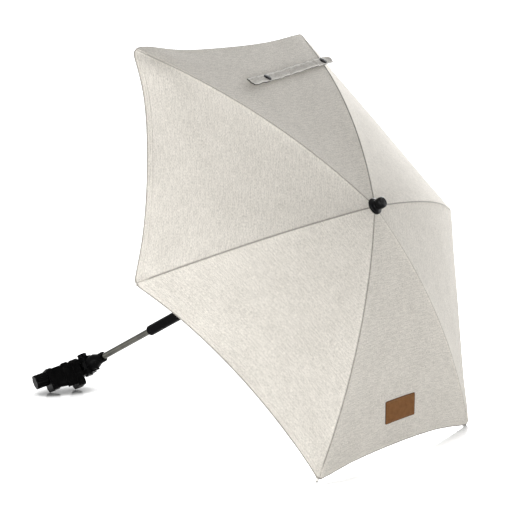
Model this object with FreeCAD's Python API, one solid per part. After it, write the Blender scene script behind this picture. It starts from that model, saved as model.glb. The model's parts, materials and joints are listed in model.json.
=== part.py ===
import FreeCAD, Part
import math
import os

from FreeCAD import Placement, Rotation, Vector

# A pram parasol lying on the floor, in millimetres.
# Every piece is first made in the pole's own frame: Z runs up the pole to the cap, the rib tips lie in
# the plane Z = 0, and X points at the side that lies on the floor. The last step lays it all down.

# Canopy
RIB_COUNT = 6
TIP_RADIUS = 340.0        # rib tip from the pole's axis, canopy open
CANOPY_RISE = 121.0       # cloth at the cap above the rib tips
CANOPY_BOW = 20.5         # an open rib stands this far above its own chord
CLOTH_THICK = 0.6
HEM_SCALLOP = 10.0        # hem drawn in toward the pole at the middle of a panel
HEM_LIFT = 10.0           # hem raised at the middle of a panel
PANEL_DIP = 4.0           # middle of a panel below the straight line between its ribs
SEAM_GAP = 0.4            # between the cloth that neighbouring ribs carry
CLOTH_CLEAR = 0.4         # under the cloth, over the rib
CLOTH_START = 0.8         # cloth's inner edge outside the rib hinges

# Ribs and stretchers
RIB_DIA = 3.0
HINGE_RADIUS = 9.5        # rib hinges from the pole's axis
HINGE_DROP = 7.5          # rib hinges below the cloth at the cap
KNEE_RADIUS = 42.0        # where the rib's straight root meets its arc
EYE_RADIUS = 2.6
EYE_THICK = 2.4           # the rib's end pressed flat
PIN_RADIUS = 0.9
PIN_GRIP = 2.0            # a hinge pin's seat on each side of its slot
JOINT_RADIUS = 155.0      # stretcher bracket on the rib, from the pole's axis
PIVOT_DROP = 5.2          # stretcher pivot below the rib's middle
CLIP_LENGTH = 11.0
CLIP_WALL = 1.7
STRETCHER_DIA = 2.4
STRETCHER_EYE_RADIUS = 2.3
STRETCHER_EYE_THICK = 1.9
TIP_BALL_RADIUS = 3.2
TIP_BARREL_RADIUS = 2.5
TIP_BARREL_LENGTH = 12.0
FOLDED_TIP_RADIUS = 21.0  # rib tips from the pole's axis, canopy folded

# Clearances
FIT_CLEAR = 0.05          # a pin or shaft that turns in its bore
SLIDE_CLEAR = 0.1         # the runner on the tube
SLOT_CLEAR = 0.4          # each side of a piece that moves in a slot

# Pole
TUBE_DIA = 9.0
TUBE_WALL = 0.8
CROWN_RADIUS = 12.5
CROWN_UNDER = 5.0         # crown below the rib hinges
CROWN_CLOTH_GAP = 1.0     # crown below the cloth
CAP_CLOTH_GAP = 0.5       # cap over the cloth
CAP_OVERLAP = 0.9         # cap's flange beyond the cloth's inner edge
CAP_FLANGE_THICK = 4.2
CAP_WAIST_RADIUS = 6.2
CAP_WAIST_HEIGHT = 2.4
CAP_KNOB_RADIUS = 7.5
CAP_HEIGHT = 17.0
CAP_SOCKET = 11.0         # tube's end inside the cap
CAP_ROUND = 1.4
WASHER_CLEAR = 0.6        # washer inside the cloth's inner edge
RUNNER_FLANGE_RADIUS = 12.5
RUNNER_FLANGE_OVER = 2.8
RUNNER_FLANGE_UNDER = 4.5
RUNNER_BODY_RADIUS = 7.5
RUNNER_LENGTH = 28.0      # runner below its stretcher pivots
RUNNER_GRIP_RADIUS = 9.5
RUNNER_GRIP_THICK = 3.5
LATCH_WIDTH = 4.0
LATCH_THICK = 2.2
LATCH_OFF_TUBE = 1.5      # latch lever off the tube
LATCH_BELOW = 13.0        # latch pivot below the stretcher pivots
LATCH_OVER = 4.6          # lever above its pivot
LATCH_UNDER = 9.4         # lever below its pivot
LATCH_EAR = 1.8
LATCH_EAR_HALF = 2.4

# Tilt joint
FOLD_CLEAR = 12.0         # tilt pivot below the folded rib tips
FORK_RADIUS = 8.5
FORK_BODY = 16.0          # fork's round part on the tube
FORK_THROAT = 13.0        # fork's throat above the pivot
CHEEK_RADIUS = 7.0
TONGUE_THICK = 6.2
TILT_PIN_RADIUS = 2.2
TILT_BUTTON_RADIUS = 3.4
TILT_BUTTON_PROUD = 1.4
TILT_BUTTON_LENGTH = 3.2
TILT_BUTTON_POCKET = 3.2  # depth of the button's pocket in the fork's cheek
SLEEVE_DIA = 15.0
SLEEVE_TOP = 10.0         # sleeve's round part below the pivot
SLEEVE_LENGTH = 66.0
SLEEVE_ROUND = 2.6
TUBE_IN_SLEEVE = 48.0
BARE_TUBE = 103.0         # tube that shows between sleeve and socket

# Socket and swivel
COLLAR_RADIUS = 7.6
COLLAR_LENGTH = 10.0
SOCKET_RADIUS = 10.8
SOCKET_LENGTH = 27.0
TUBE_IN_SOCKET = 22.0
SOCKET_BUTTON_RADIUS = 3.6
SOCKET_BUTTON_DOWN = 21.0     # button below the socket's mouth
SOCKET_BUTTON_OFF_TUBE = 2.6  # button's inner end off the tube
SOCKET_BUTTON_LENGTH = 6.0
SWIVEL_DOWN = 40.0            # swivel bolt below the socket's mouth
SWIVEL_DISC_RADIUS = 12.0
SWIVEL_TONGUE = 10.0
SWIVEL_CHEEK = 7.4
CHEEK_HALF = 11.0             # half of a cheek's width
NECK_WIDTH = 16.0
BOLT_RADIUS = 3.0
BOLT_HEAD_RADIUS = 6.0
BOLT_HEAD_THICK = 2.4
SWIVEL_WASHER_THICK = 0.8
SWIVEL_WASHER_RADIUS = 6.0
SWIVEL_KNOB_RADIUS = 6.8
SWIVEL_KNOB_THICK = 5.0
SWIVEL_REST = 62.0            # degrees that the clamp stands turned from the pole's line

# Clamp: s runs from the swivel bolt along the clamp, v from its back to its mouth, q across it to the floor
CLAMP_TOP = -14.5         # clamp's edge away from the floor
CLAMP_FOOT = 17.0         # far arm's edge at the floor
NEAR_FOOT = 25.0          # near arm's edge at the floor
BACK_V = -14.5            # outside of the clamp's back
BACK_THICK = 6.5
BACK_RISE = 2.0           # back's edge over the two arms' feet
BACK_RIB_OFF_ARM = 5.0    # stiffening rib on the back, after the near arm
BACK_RIB_THICK = 9.0
BACK_RIB_FOOT = 21.0
NEAR_ARM_THICK = 11.4
NEAR_ARM_TIP = 20.0
FAR_ARM_THICK = 8.0
FAR_ARM_TIP = 17.0
MOUTH = 30.0              # between the two arms
CORNER = 3.0              # bevel on the clamp's outer corners
FOOT_BEVEL = 6.0          # bevel between an arm's tip and its foot
GRIPPED_RADIUS = 9.0      # pram tube that the jaws hold
GRIPPED_V = 10.0          # that tube's axis
PAD_MIN = 2.0             # rubber behind the gripped tube
PAD_HEIGHT = 11.0
PAD_LIP = 2.2             # pad past its thinnest place
PAD_INSET = 4.0           # pads short of the far arm's edges
JAW_THICK = 5.0
JAW_TIP = 19.0
JAW_INSET = 1.0           # jaw short of the far arm's edges
SCREW_RADIUS = 2.5
SCREW_V = -2.5
SCREW_Q = -2.5
SCREW_SEAT = 7.0          # screw's end in the near arm
KNOB_RADIUS = 10.3
KNOB_LENGTH = 18.4
KNOB_GAP = 0.6            # knob off the far arm
KNOB_BORE = 12.0
KNOB_FLUTES = 8
FLUTE_RADIUS = 2.4

# Trim on the cloth
SNAP_RADIUS = 5.0
SNAP_THICK = 1.6
SNAP_SHANK = 1.4
STUD_LENGTH = 1.0         # loose snap's stud under the strap
STRAP_LENGTH = 212.0
STRAP_WIDTH = 14.0
STRAP_THICK = 1.2
STRAP_OFF_CLOTH = 2.0     # strap's underside over the cloth at its rib
STRAP_TAIL = 23.0         # strap past the snap on its rib
LOOSE_SNAP_INSET = 42.0   # the other snap from the strap's loose end
LABEL_WIDTH = 66.0
LABEL_LENGTH = 37.0
LABEL_THICK = 1.1
LABEL_SUNK = 0.25         # label pressed into the cloth by its stitches

X_AXIS = Vector(1, 0, 0)
Y_AXIS = Vector(0, 1, 0)
Z_AXIS = Vector(0, 0, 1)
ORIGIN = Vector(0, 0, 0)


def cylinder(radius, start, end):
    """A round bar between two points."""
    return Part.makeCylinder(radius, start.distanceToPoint(end), start, end - start)


def box(x_from, x_to, y_from, y_to, z_from, z_to):
    """A block given by its six faces."""
    return Part.makeBox(x_to - x_from, y_to - y_from, z_to - z_from, Vector(x_from, y_from, z_from))


def spun(outline):
    """A solid turned on the pole's axis from an outline of (radius, z) points."""
    points = [Vector(r, 0, z) for r, z in outline]
    return Part.Face(Part.makePolygon(points + points[:1])).revolve(ORIGIN, Z_AXIS, 360)


def around(shape, index):
    """A copy of a piece made on the rib plane Y = 0, turned to rib number index."""
    copy = shape.copy()
    copy.rotate(ORIGIN, Z_AXIS, rib_angle(index))
    return copy


def rib_angle(index):
    """Degrees of a rib about the pole, from X: two ribs straddle the floor side."""
    return (index - 0.5) * 360.0 / RIB_COUNT


def united(shapes):
    """One solid out of several that overlap."""
    return shapes[0].fuse(shapes[1:]).removeSplitter()


# The canopy's line along a rib: an arc of one circle from the cloth's inner edge to the rib tip
CLOTH_INNER = HINGE_RADIUS + CLOTH_START
CHORD_RUN = TIP_RADIUS - CLOTH_INNER
CHORD = math.hypot(CHORD_RUN, CANOPY_RISE)
ARC_RADIUS = (CHORD * CHORD / 4 + CANOPY_BOW * CANOPY_BOW) / (2 * CANOPY_BOW)
ARC_SINK = ARC_RADIUS - CANOPY_BOW
ARC_R = (CLOTH_INNER + TIP_RADIUS) / 2 - ARC_SINK * CANOPY_RISE / CHORD
ARC_Z = CANOPY_RISE / 2 - ARC_SINK * CHORD_RUN / CHORD


def arc_angle(radius, drop):
    """Angle at the arc's centre, from Z, of the point at this distance from the pole."""
    return math.asin((radius - ARC_R) / (ARC_RADIUS - drop))


def arc_point(angle, drop):
    """Point on the rib plane, this far inside the cloth's line."""
    reach = ARC_RADIUS - drop
    return Vector(ARC_R + reach * math.sin(angle), 0, ARC_Z + reach * math.cos(angle))


RIB_DROP = CLOTH_THICK + CLOTH_CLEAR + RIB_DIA / 2
INNER_ANGLE = arc_angle(CLOTH_INNER, 0)
TIP_ANGLE = arc_angle(TIP_RADIUS, 0)
KNEE_ANGLE = arc_angle(KNEE_RADIUS, RIB_DROP)
JOINT_ANGLE = arc_angle(JOINT_RADIUS, RIB_DROP)

# The fold: hinge, bracket pivot and runner pivot make a triangle with two equal sides
HINGE = Vector(HINGE_RADIUS, 0, CANOPY_RISE - HINGE_DROP)
PIVOT = arc_point(JOINT_ANGLE, RIB_DROP + PIVOT_DROP)
RUNNER_PIVOT = Vector(HINGE_RADIUS, 0, 2 * PIVOT.z - HINGE.z)
TIP = arc_point(TIP_ANGLE, RIB_DROP)
TIP_REACH = HINGE.distanceToPoint(TIP)
OPEN_ANGLE = math.degrees(math.atan2(HINGE.z - TIP.z, TIP.x - HINGE.x))
FOLDED_ANGLE = math.degrees(math.acos((FOLDED_TIP_RADIUS - HINGE_RADIUS) / TIP_REACH))
FOLD_TRAVEL = FOLDED_ANGLE - OPEN_ANGLE
FOLDED_TIP_Z = HINGE.z - TIP_REACH * math.sin(math.radians(FOLDED_ANGLE))


def make_rib():
    """A steel rod: an eye on the crown's pin, a straight root and a long arc under the cloth."""
    knee = arc_point(KNEE_ANGLE, RIB_DROP)
    along = Vector(math.cos(KNEE_ANGLE), 0, -math.sin(KNEE_ANGLE))
    rod = Part.Wire(Part.makeCircle(RIB_DIA / 2, knee, along))
    arc = Part.Face(rod).revolve(Vector(ARC_R, 0, ARC_Z), Y_AXIS, math.degrees(TIP_ANGLE - KNEE_ANGLE))
    bend = Part.makeSphere(RIB_DIA / 2, knee)
    root = cylinder(RIB_DIA / 2, HINGE, knee)
    half = Vector(0, EYE_THICK / 2, 0)
    eye = cylinder(EYE_RADIUS, HINGE - half, HINGE + half)
    bore = cylinder(PIN_RADIUS + FIT_CLEAR, HINGE - half * 2, HINGE + half * 2)
    return united([arc, bend, root, eye]).cut(bore)


def ferrule_forms():
    """The barrel and the ball of a rib's ferrule, before the rod's bore."""
    along = Vector(math.cos(TIP_ANGLE), 0, -math.sin(TIP_ANGLE))
    barrel = cylinder(TIP_BARREL_RADIUS, TIP - along * TIP_BARREL_LENGTH, TIP)
    return [barrel, Part.makeSphere(TIP_BALL_RADIUS, TIP)]


def make_rib_tip(rib):
    """A pale plastic ferrule with a ball end, pushed on the end of a rib."""
    return united(ferrule_forms()).cut(rib)


def make_rib_clip(rib):
    """A bracket under the rib: two cheeks with a pin that carries the stretcher."""
    slot = STRETCHER_DIA + 2 * SLOT_CLEAR
    half_width = slot / 2 + CLIP_WALL
    under = PIVOT_DROP + STRETCHER_EYE_RADIUS
    bracket = box(-CLIP_LENGTH / 2, CLIP_LENGTH / 2, -half_width, half_width, -under, 0)
    slot_top = STRETCHER_EYE_RADIUS + SLOT_CLEAR - PIVOT_DROP
    slot_cut = box(-CLIP_LENGTH, CLIP_LENGTH, -slot / 2, slot / 2, -2 * under, slot_top)
    pin_from = Vector(0, -half_width, -PIVOT_DROP)
    pin_to = Vector(0, half_width, -PIVOT_DROP)
    bracket = united([bracket.cut(slot_cut), cylinder(PIN_RADIUS, pin_from, pin_to)])
    seat = arc_point(JOINT_ANGLE, RIB_DROP)
    bracket.Placement = Placement(seat, Rotation(Y_AXIS, math.degrees(JOINT_ANGLE)))
    return bracket.cut(rib)


def make_stretcher():
    """A steel rod with an eye at each end, from the runner up to the bracket on the rib."""
    half = Vector(0, STRETCHER_EYE_THICK / 2, 0)
    bar = [cylinder(STRETCHER_DIA / 2, RUNNER_PIVOT, PIVOT)]
    for end in (RUNNER_PIVOT, PIVOT):
        bar.append(cylinder(STRETCHER_EYE_RADIUS, end - half, end + half))
    bar = united(bar)
    for end in (RUNNER_PIVOT, PIVOT):
        bar = bar.cut(cylinder(PIN_RADIUS + FIT_CLEAR, end - half * 2, end + half * 2))
    return bar


def cloth_point(along, across, drop):
    """Point of the cloth: along 0 to 1 from cap to hem, across 0 to 1 from the rib to mid panel."""
    half_turn = math.pi / RIB_COUNT
    angle = INNER_ANGLE + along * (TIP_ANGLE - INNER_ANGLE)
    on_rib = arc_point(angle, drop)
    share = across * (1 - SEAM_GAP / (2 * on_rib.x * math.sin(half_turn)))
    sag = 1 - (1 - across) ** 2
    middle = Vector(math.cos(half_turn), math.sin(half_turn), 0)
    chord_middle = middle * (on_rib.x * math.cos(half_turn)) + Z_AXIS * on_rib.z
    hem = (Z_AXIS * HEM_LIFT - middle * HEM_SCALLOP) * along ** 3
    out = middle * math.sin(angle) + Z_AXIS * math.cos(angle)
    dip = out * (4 * PANEL_DIP * along * (1 - along))
    return on_rib * (1 - share) + chord_middle * share + (hem - dip) * sag


def make_half_panel():
    """Half of the cloth that a rib carries, from the seam to mid panel, with room for the ferrule."""
    sections = []
    for across in (0.0, 0.5, 1.0):
        top = [cloth_point(along, across, 0) for along in (0.0, 0.5, 1.0)]
        under = [cloth_point(along, across, CLOTH_THICK) for along in (0.0, 0.5, 1.0)]
        edges = [
            Part.Arc(top[0], top[1], top[2]).toShape(),
            Part.makeLine(top[2], under[2]),
            Part.Arc(under[2], under[1], under[0]).toShape(),
            Part.makeLine(under[0], top[0]),
        ]
        sections.append(Part.Wire(edges))
    cloth = Part.makeLoft(sections, True, False)
    for form in ferrule_forms():
        cloth = cloth.cut(form)
    return cloth


def on_cloth(panel_name, side, along, across, heading):
    """Placement on the cloth: Z out of the cloth, X turned by heading degrees from the way to the hem."""
    step = 0.01
    here = cloth_point(along, across, 0)
    to_hem = cloth_point(along + step, across, 0) - here
    to_middle = cloth_point(along, across + step, 0) - here
    out = to_hem.cross(to_middle).normalize()
    for vector in (here, to_hem, out):
        vector.y = vector.y * side
    turn = Rotation(to_hem, out.cross(to_hem), out, "XZY")
    index = int(panel_name.split("_")[-1]) - 1
    about_pole = Placement(ORIGIN, Rotation(Z_AXIS, rib_angle(index)))
    return about_pole * Placement(here, turn) * Placement(ORIGIN, Rotation(Z_AXIS, heading))


def make_crown():
    """The hub at the top of the pole, slotted for the ribs, and the pins that they turn on."""
    top = CANOPY_RISE - CLOTH_THICK - CROWN_CLOTH_GAP
    bottom = HINGE.z - CROWN_UNDER
    hub = spun([(TUBE_DIA / 2, bottom), (CROWN_RADIUS, bottom), (CROWN_RADIUS, top), (TUBE_DIA / 2, top)])
    half_slot = RIB_DIA / 2 + SLOT_CLEAR
    slot_from = HINGE_RADIUS - EYE_RADIUS - SLOT_CLEAR
    slot_top = HINGE.z + EYE_RADIUS + SLOT_CLEAR
    slot = box(slot_from, 2 * CROWN_RADIUS, -half_slot, half_slot, bottom - CROWN_UNDER, slot_top)
    reach = Vector(0, half_slot + PIN_GRIP, 0)
    pin = cylinder(PIN_RADIUS, HINGE - reach, HINGE + reach)
    pins = [around(pin, index) for index in range(RIB_COUNT)]
    slots = [around(slot, index) for index in range(RIB_COUNT)]
    return hub.cut(slots).cut(pins), Part.makeCompound(pins)


def make_cap():
    """The black cap that holds the cloth down: a flange, a waist, a knob and a blind bore for the tube."""
    seat = CANOPY_RISE + CAP_CLOTH_GAP
    flange = CLOTH_INNER + CAP_OVERLAP
    top = seat + CAP_HEIGHT
    shoulder = seat + CAP_FLANGE_THICK
    knob = shoulder + CAP_WAIST_HEIGHT
    body = spun([
        (0, seat), (flange - CAP_ROUND / 2, seat), (flange, seat + CAP_ROUND / 2),
        (flange, shoulder - CAP_ROUND), (flange - CAP_ROUND, shoulder), (CAP_WAIST_RADIUS, shoulder),
        (CAP_WAIST_RADIUS, knob), (CAP_KNOB_RADIUS, knob), (CAP_KNOB_RADIUS, top - CAP_ROUND),
        (CAP_KNOB_RADIUS - CAP_ROUND, top), (0, top),
    ])
    return body.cut(cylinder(TUBE_DIA / 2, Vector(0, 0, seat), Vector(0, 0, seat + CAP_SOCKET)))


def make_cap_washer():
    """The washer between crown and cap, inside the cloth's opening."""
    bottom = CANOPY_RISE - CLOTH_THICK - CROWN_CLOTH_GAP
    top = CANOPY_RISE + CAP_CLOTH_GAP
    radius = CLOTH_INNER * math.cos(math.pi / RIB_COUNT) - WASHER_CLEAR
    return spun([(TUBE_DIA / 2, bottom), (radius, bottom), (radius, top), (TUBE_DIA / 2, top)])


def make_tube(bottom, top):
    """A length of the steel pole."""
    outer = TUBE_DIA / 2
    return spun([(outer - TUBE_WALL, bottom), (outer, bottom), (outer, top), (outer - TUBE_WALL, top)])


LATCH_X = TUBE_DIA / 2 + LATCH_OFF_TUBE + LATCH_THICK / 2


def make_runner():
    """The slider on the pole: a slotted flange for the stretchers, their pins, and ears for the latch."""
    level = RUNNER_PIVOT.z
    bore = TUBE_DIA / 2 + SLIDE_CLEAR
    top = level + RUNNER_FLANGE_OVER
    neck = level - RUNNER_FLANGE_UNDER
    bottom = level - RUNNER_LENGTH
    body = spun([
        (bore, bottom), (RUNNER_GRIP_RADIUS, bottom), (RUNNER_GRIP_RADIUS, bottom + RUNNER_GRIP_THICK),
        (RUNNER_BODY_RADIUS, bottom + RUNNER_GRIP_THICK), (RUNNER_BODY_RADIUS, neck),
        (RUNNER_FLANGE_RADIUS, neck), (RUNNER_FLANGE_RADIUS, top), (bore, top),
    ])
    half_slot = STRETCHER_DIA / 2 + SLOT_CLEAR
    slot_from = HINGE_RADIUS - STRETCHER_EYE_RADIUS - SLOT_CLEAR
    slot_floor = level - STRETCHER_EYE_RADIUS - SLOT_CLEAR
    slot = box(slot_from, 2 * RUNNER_FLANGE_RADIUS, -half_slot, half_slot, slot_floor, 2 * top - slot_floor)
    reach = Vector(0, half_slot + PIN_GRIP, 0)
    pin = cylinder(PIN_RADIUS, RUNNER_PIVOT - reach, RUNNER_PIVOT + reach)
    pins = [around(pin, index) for index in range(RIB_COUNT)]
    slots = [around(slot, index) for index in range(RIB_COUNT)]
    body = body.cut(slots).cut(pins)

    half_gap = LATCH_WIDTH / 2 + SLOT_CLEAR
    ear_out = half_gap + LATCH_EAR
    pivot = Vector(LATCH_X, 0, level - LATCH_BELOW)
    ears = box(bore + LATCH_EAR, pivot.x + LATCH_EAR_HALF, -ear_out, ear_out,
               pivot.z - LATCH_EAR_HALF, pivot.z + LATCH_EAR_HALF)
    window = box(bore - SLOT_CLEAR, 2 * RUNNER_FLANGE_RADIUS, -half_gap, half_gap,
                 pivot.z - LATCH_UNDER - SLOT_CLEAR, pivot.z + LATCH_OVER + SLOT_CLEAR)
    reach = Vector(0, ear_out, 0)
    axle_hole = cylinder(PIN_RADIUS + FIT_CLEAR, pivot - reach, pivot + reach)
    return united([body, ears]).cut([window, axle_hole]), Part.makeCompound(pins)


def make_latch():
    """The thumb lever on the runner, with its axle."""
    level = RUNNER_PIVOT.z - LATCH_BELOW
    lever = box(LATCH_X - LATCH_THICK / 2, LATCH_X + LATCH_THICK / 2, -LATCH_WIDTH / 2, LATCH_WIDTH / 2,
                level - LATCH_UNDER, level + LATCH_OVER)
    reach = Vector(0, LATCH_WIDTH / 2 + SLOT_CLEAR + LATCH_EAR, 0)
    axle = Vector(LATCH_X, 0, level)
    return united([lever, cylinder(PIN_RADIUS, axle - reach, axle + reach)])


TILT_Z = FOLDED_TIP_Z - FOLD_CLEAR
CHEEK_INNER = TONGUE_THICK / 2 + SLOT_CLEAR
TILT_AXLE = Vector(0, 0, TILT_Z)
FORK_TOP = TILT_Z + FORK_THROAT + FORK_BODY
SLEEVE_END = TILT_Z - SLEEVE_TOP - SLEEVE_LENGTH
SOCKET_MOUTH = SLEEVE_END - BARE_TUBE
BUTTON_FLOOR = FORK_RADIUS - TILT_BUTTON_POCKET


def make_tilt_fork():
    """The fork at the foot of the upper tube, with a pocket for the release button."""
    throat = TILT_Z + FORK_THROAT
    body = cylinder(FORK_RADIUS, Vector(0, 0, throat), Vector(0, 0, FORK_TOP))
    cheeks = box(-CHEEK_RADIUS, CHEEK_RADIUS, -FORK_RADIUS, FORK_RADIUS, TILT_Z, throat)
    across = Vector(0, FORK_RADIUS, 0)
    fork = united([body, cheeks, cylinder(CHEEK_RADIUS, TILT_AXLE - across, TILT_AXLE + across)])
    below = TILT_Z - 2 * CHEEK_RADIUS
    gap = box(-2 * FORK_RADIUS, 2 * FORK_RADIUS, -CHEEK_INNER, CHEEK_INNER, below, throat)
    bore = cylinder(TUBE_DIA / 2, Vector(0, 0, throat), Vector(0, 0, FORK_TOP))
    floor = TILT_AXLE - Y_AXIS * BUTTON_FLOOR
    pocket = cylinder(TILT_BUTTON_RADIUS + SLOT_CLEAR, floor, TILT_AXLE - across)
    return fork.cut([gap, bore, pocket, make_tilt_pin()])


def make_tilt_pin():
    """The pin of the tilt joint, fast in the fork."""
    return cylinder(TILT_PIN_RADIUS, TILT_AXLE - Y_AXIS * BUTTON_FLOOR, TILT_AXLE + Y_AXIS * FORK_RADIUS)


def make_tilt_button():
    """The release button in the fork's cheek."""
    face = TILT_AXLE - Y_AXIS * (FORK_RADIUS + TILT_BUTTON_PROUD)
    return cylinder(TILT_BUTTON_RADIUS, face, face + Y_AXIS * TILT_BUTTON_LENGTH)


def make_sleeve():
    """The black sleeve on the lower tube: a round body with a tongue between the fork's cheeks."""
    top = TILT_Z - SLEEVE_TOP
    body = cylinder(SLEEVE_DIA / 2, Vector(0, 0, SLEEVE_END), Vector(0, 0, top))
    lower_rim = [edge for edge in body.Edges if edge.BoundBox.ZMax < SLEEVE_END + SLEEVE_ROUND / 2]
    body = body.makeFillet(SLEEVE_ROUND, lower_rim)
    half = Vector(0, TONGUE_THICK / 2, 0)
    tongue = cylinder(CHEEK_RADIUS, TILT_AXLE - half, TILT_AXLE + half)
    neck = box(-CHEEK_RADIUS, CHEEK_RADIUS, -half.y, half.y, top - SLEEVE_TOP / 2, TILT_Z)
    bore = cylinder(TUBE_DIA / 2, Vector(0, 0, SLEEVE_END), Vector(0, 0, SLEEVE_END + TUBE_IN_SLEEVE))
    pin_hole = cylinder(TILT_PIN_RADIUS + FIT_CLEAR, TILT_AXLE - half * 2, TILT_AXLE + half * 2)
    return united([body, neck, tongue]).cut([bore, pin_hole])


SWIVEL = Vector(0, 0, SOCKET_MOUTH - SWIVEL_DOWN)
SOCKET_BUTTON_Z = SOCKET_MOUTH - SOCKET_BUTTON_DOWN
SOCKET_BUTTON_X = TUBE_DIA / 2 + SOCKET_BUTTON_OFF_TUBE


def make_socket():
    """The black socket that takes the pole: a collar that flares to a body, and the swivel's tongue."""
    foot = SOCKET_MOUTH - SOCKET_LENGTH
    collar = SOCKET_MOUTH - COLLAR_LENGTH
    flare = (foot + collar) / 2
    body = spun([(0, foot), (SOCKET_RADIUS, foot), (SOCKET_RADIUS, flare), (COLLAR_RADIUS, collar),
                 (COLLAR_RADIUS, SOCKET_MOUTH), (0, SOCKET_MOUTH)])
    half = Vector(SWIVEL_TONGUE / 2, 0, 0)
    tongue = cylinder(SWIVEL_DISC_RADIUS, SWIVEL - half, SWIVEL + half)
    neck = box(-half.x, half.x, -NECK_WIDTH / 2, NECK_WIDTH / 2, SWIVEL.z, foot)
    bore = cylinder(TUBE_DIA / 2, Vector(0, 0, SOCKET_MOUTH - TUBE_IN_SOCKET), Vector(0, 0, SOCKET_MOUTH))
    bolt_hole = cylinder(BOLT_RADIUS + FIT_CLEAR, SWIVEL - half * 2, SWIVEL + half * 2)
    well = cylinder(SOCKET_BUTTON_RADIUS + SLOT_CLEAR, Vector(0, 0, SOCKET_BUTTON_Z),
                    Vector(2 * SOCKET_RADIUS, 0, SOCKET_BUTTON_Z))
    return united([body, neck, tongue]).cut([bore, bolt_hole, well])


def make_socket_button():
    """The round lock button on the socket's underside."""
    inner = Vector(SOCKET_BUTTON_X, 0, SOCKET_BUTTON_Z)
    return cylinder(SOCKET_BUTTON_RADIUS, inner, inner + X_AXIS * SOCKET_BUTTON_LENGTH)


CHEEK_Q = SWIVEL_TONGUE / 2 + SLOT_CLEAR
BACK_INNER = BACK_V + BACK_THICK
CHEEK_OUT = CHEEK_Q + SWIVEL_CHEEK
NEAR_ARM_S = SWIVEL_DISC_RADIUS + 2 * SLOT_CLEAR
MOUTH_S = NEAR_ARM_S + NEAR_ARM_THICK
FAR_ARM_S = MOUTH_S + MOUTH
FRAME_END = FAR_ARM_S + FAR_ARM_THICK
GRIPPED_S = MOUTH_S + PAD_MIN + GRIPPED_RADIUS
JAW_S = GRIPPED_S + GRIPPED_RADIUS + PAD_MIN
KNOB_S = FRAME_END + KNOB_GAP
SWIVEL_KNOB_Q = -CHEEK_OUT - SWIVEL_WASHER_THICK - SLOT_CLEAR


def clamp_point(s, v, q):
    """Point of the clamp, before it is swung on its swivel."""
    return SWIVEL + Vector(q, v, -s)


def clamp_box(s_from, s_to, v_from, v_to, q_from, q_to):
    """A block of the clamp."""
    return box(q_from, q_to, v_from, v_to, SWIVEL.z - s_to, SWIVEL.z - s_from)


def clamp_arm(s_from, s_to, back, tip, top, foot):
    """A jaw or arm: a bevelled plate across the clamp, from its back to its tip and from top to foot."""
    outline = [
        (back + CORNER, top), (tip - CORNER, top), (tip, top + CORNER), (tip, foot - FOOT_BEVEL),
        (tip - FOOT_BEVEL, foot), (back + CORNER, foot), (back, foot - CORNER), (back, top + CORNER),
    ]
    points = [clamp_point(s_from, v, q) for v, q in outline]
    return Part.Face(Part.makePolygon(points + points[:1])).extrude(Z_AXIS * (s_from - s_to))


def swung(shape):
    """A piece of the clamp turned on the swivel bolt to where it lies."""
    copy = shape.copy()
    copy.rotate(SWIVEL, X_AXIS, -SWIVEL_REST)
    return copy


def make_screw():
    """The captive jaw screw, between the near arm and the knob."""
    start = MOUTH_S - SCREW_SEAT
    end = KNOB_S + KNOB_BORE
    return cylinder(SCREW_RADIUS, clamp_point(start, SCREW_V, SCREW_Q), clamp_point(end, SCREW_V, SCREW_Q))


def make_screw_bore():
    """Room for the screw to turn in."""
    start = clamp_point(MOUTH_S - SCREW_SEAT - SLOT_CLEAR, SCREW_V, SCREW_Q)
    return cylinder(SCREW_RADIUS + FIT_CLEAR, start, clamp_point(KNOB_S, SCREW_V, SCREW_Q))


def make_clamp_back():
    """The frame's back, whose lower edge runs just over the line from one arm's foot to the other's."""
    back = BACK_V + CORNER / 2
    top = CLAMP_TOP + CORNER / 2
    outline = [
        (NEAR_ARM_S, top), (FRAME_END, top),
        (FRAME_END, CLAMP_FOOT - BACK_RISE), (NEAR_ARM_S, NEAR_FOOT - BACK_RISE),
    ]
    points = [clamp_point(s, back, q) for s, q in outline]
    return Part.Face(Part.makePolygon(points + points[:1])).extrude(Y_AXIS * (BACK_INNER - back))


def make_clamp_frame():
    """The C-shaped frame: two cheeks on the swivel, a back with a stiffening rib, and two arms."""
    rib_s = MOUTH_S + BACK_RIB_OFF_ARM
    pieces = [
        clamp_arm(NEAR_ARM_S, MOUTH_S, BACK_V, NEAR_ARM_TIP, CLAMP_TOP, NEAR_FOOT),
        clamp_arm(FAR_ARM_S, FRAME_END, BACK_V, FAR_ARM_TIP, CLAMP_TOP, CLAMP_FOOT),
        make_clamp_back(),
        clamp_box(rib_s, rib_s + BACK_RIB_THICK, BACK_V, BACK_INNER, CLAMP_TOP, BACK_RIB_FOOT),
    ]
    for side in (-1, 1):
        inner = clamp_point(0, 0, side * CHEEK_Q)
        outer = clamp_point(0, 0, side * CHEEK_OUT)
        pieces.append(cylinder(SWIVEL_DISC_RADIUS, inner, outer))
        low, high = sorted((inner.x, outer.x))
        pieces.append(clamp_box(0, NEAR_ARM_S + CORNER, -CHEEK_HALF, CHEEK_HALF, low, high))
    return united(pieces).cut([make_screw_bore(), make_swivel_bolt()])


def make_swivel_bolt():
    """The swivel's bolt, with a low round head under the clamp."""
    head = CHEEK_OUT + BOLT_HEAD_THICK
    end = -CHEEK_OUT - SWIVEL_WASHER_THICK - SWIVEL_KNOB_THICK / 2
    shank = cylinder(BOLT_RADIUS, clamp_point(0, 0, end), clamp_point(0, 0, head))
    return united([shank, cylinder(BOLT_HEAD_RADIUS, clamp_point(0, 0, CHEEK_OUT), clamp_point(0, 0, head))])


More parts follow.
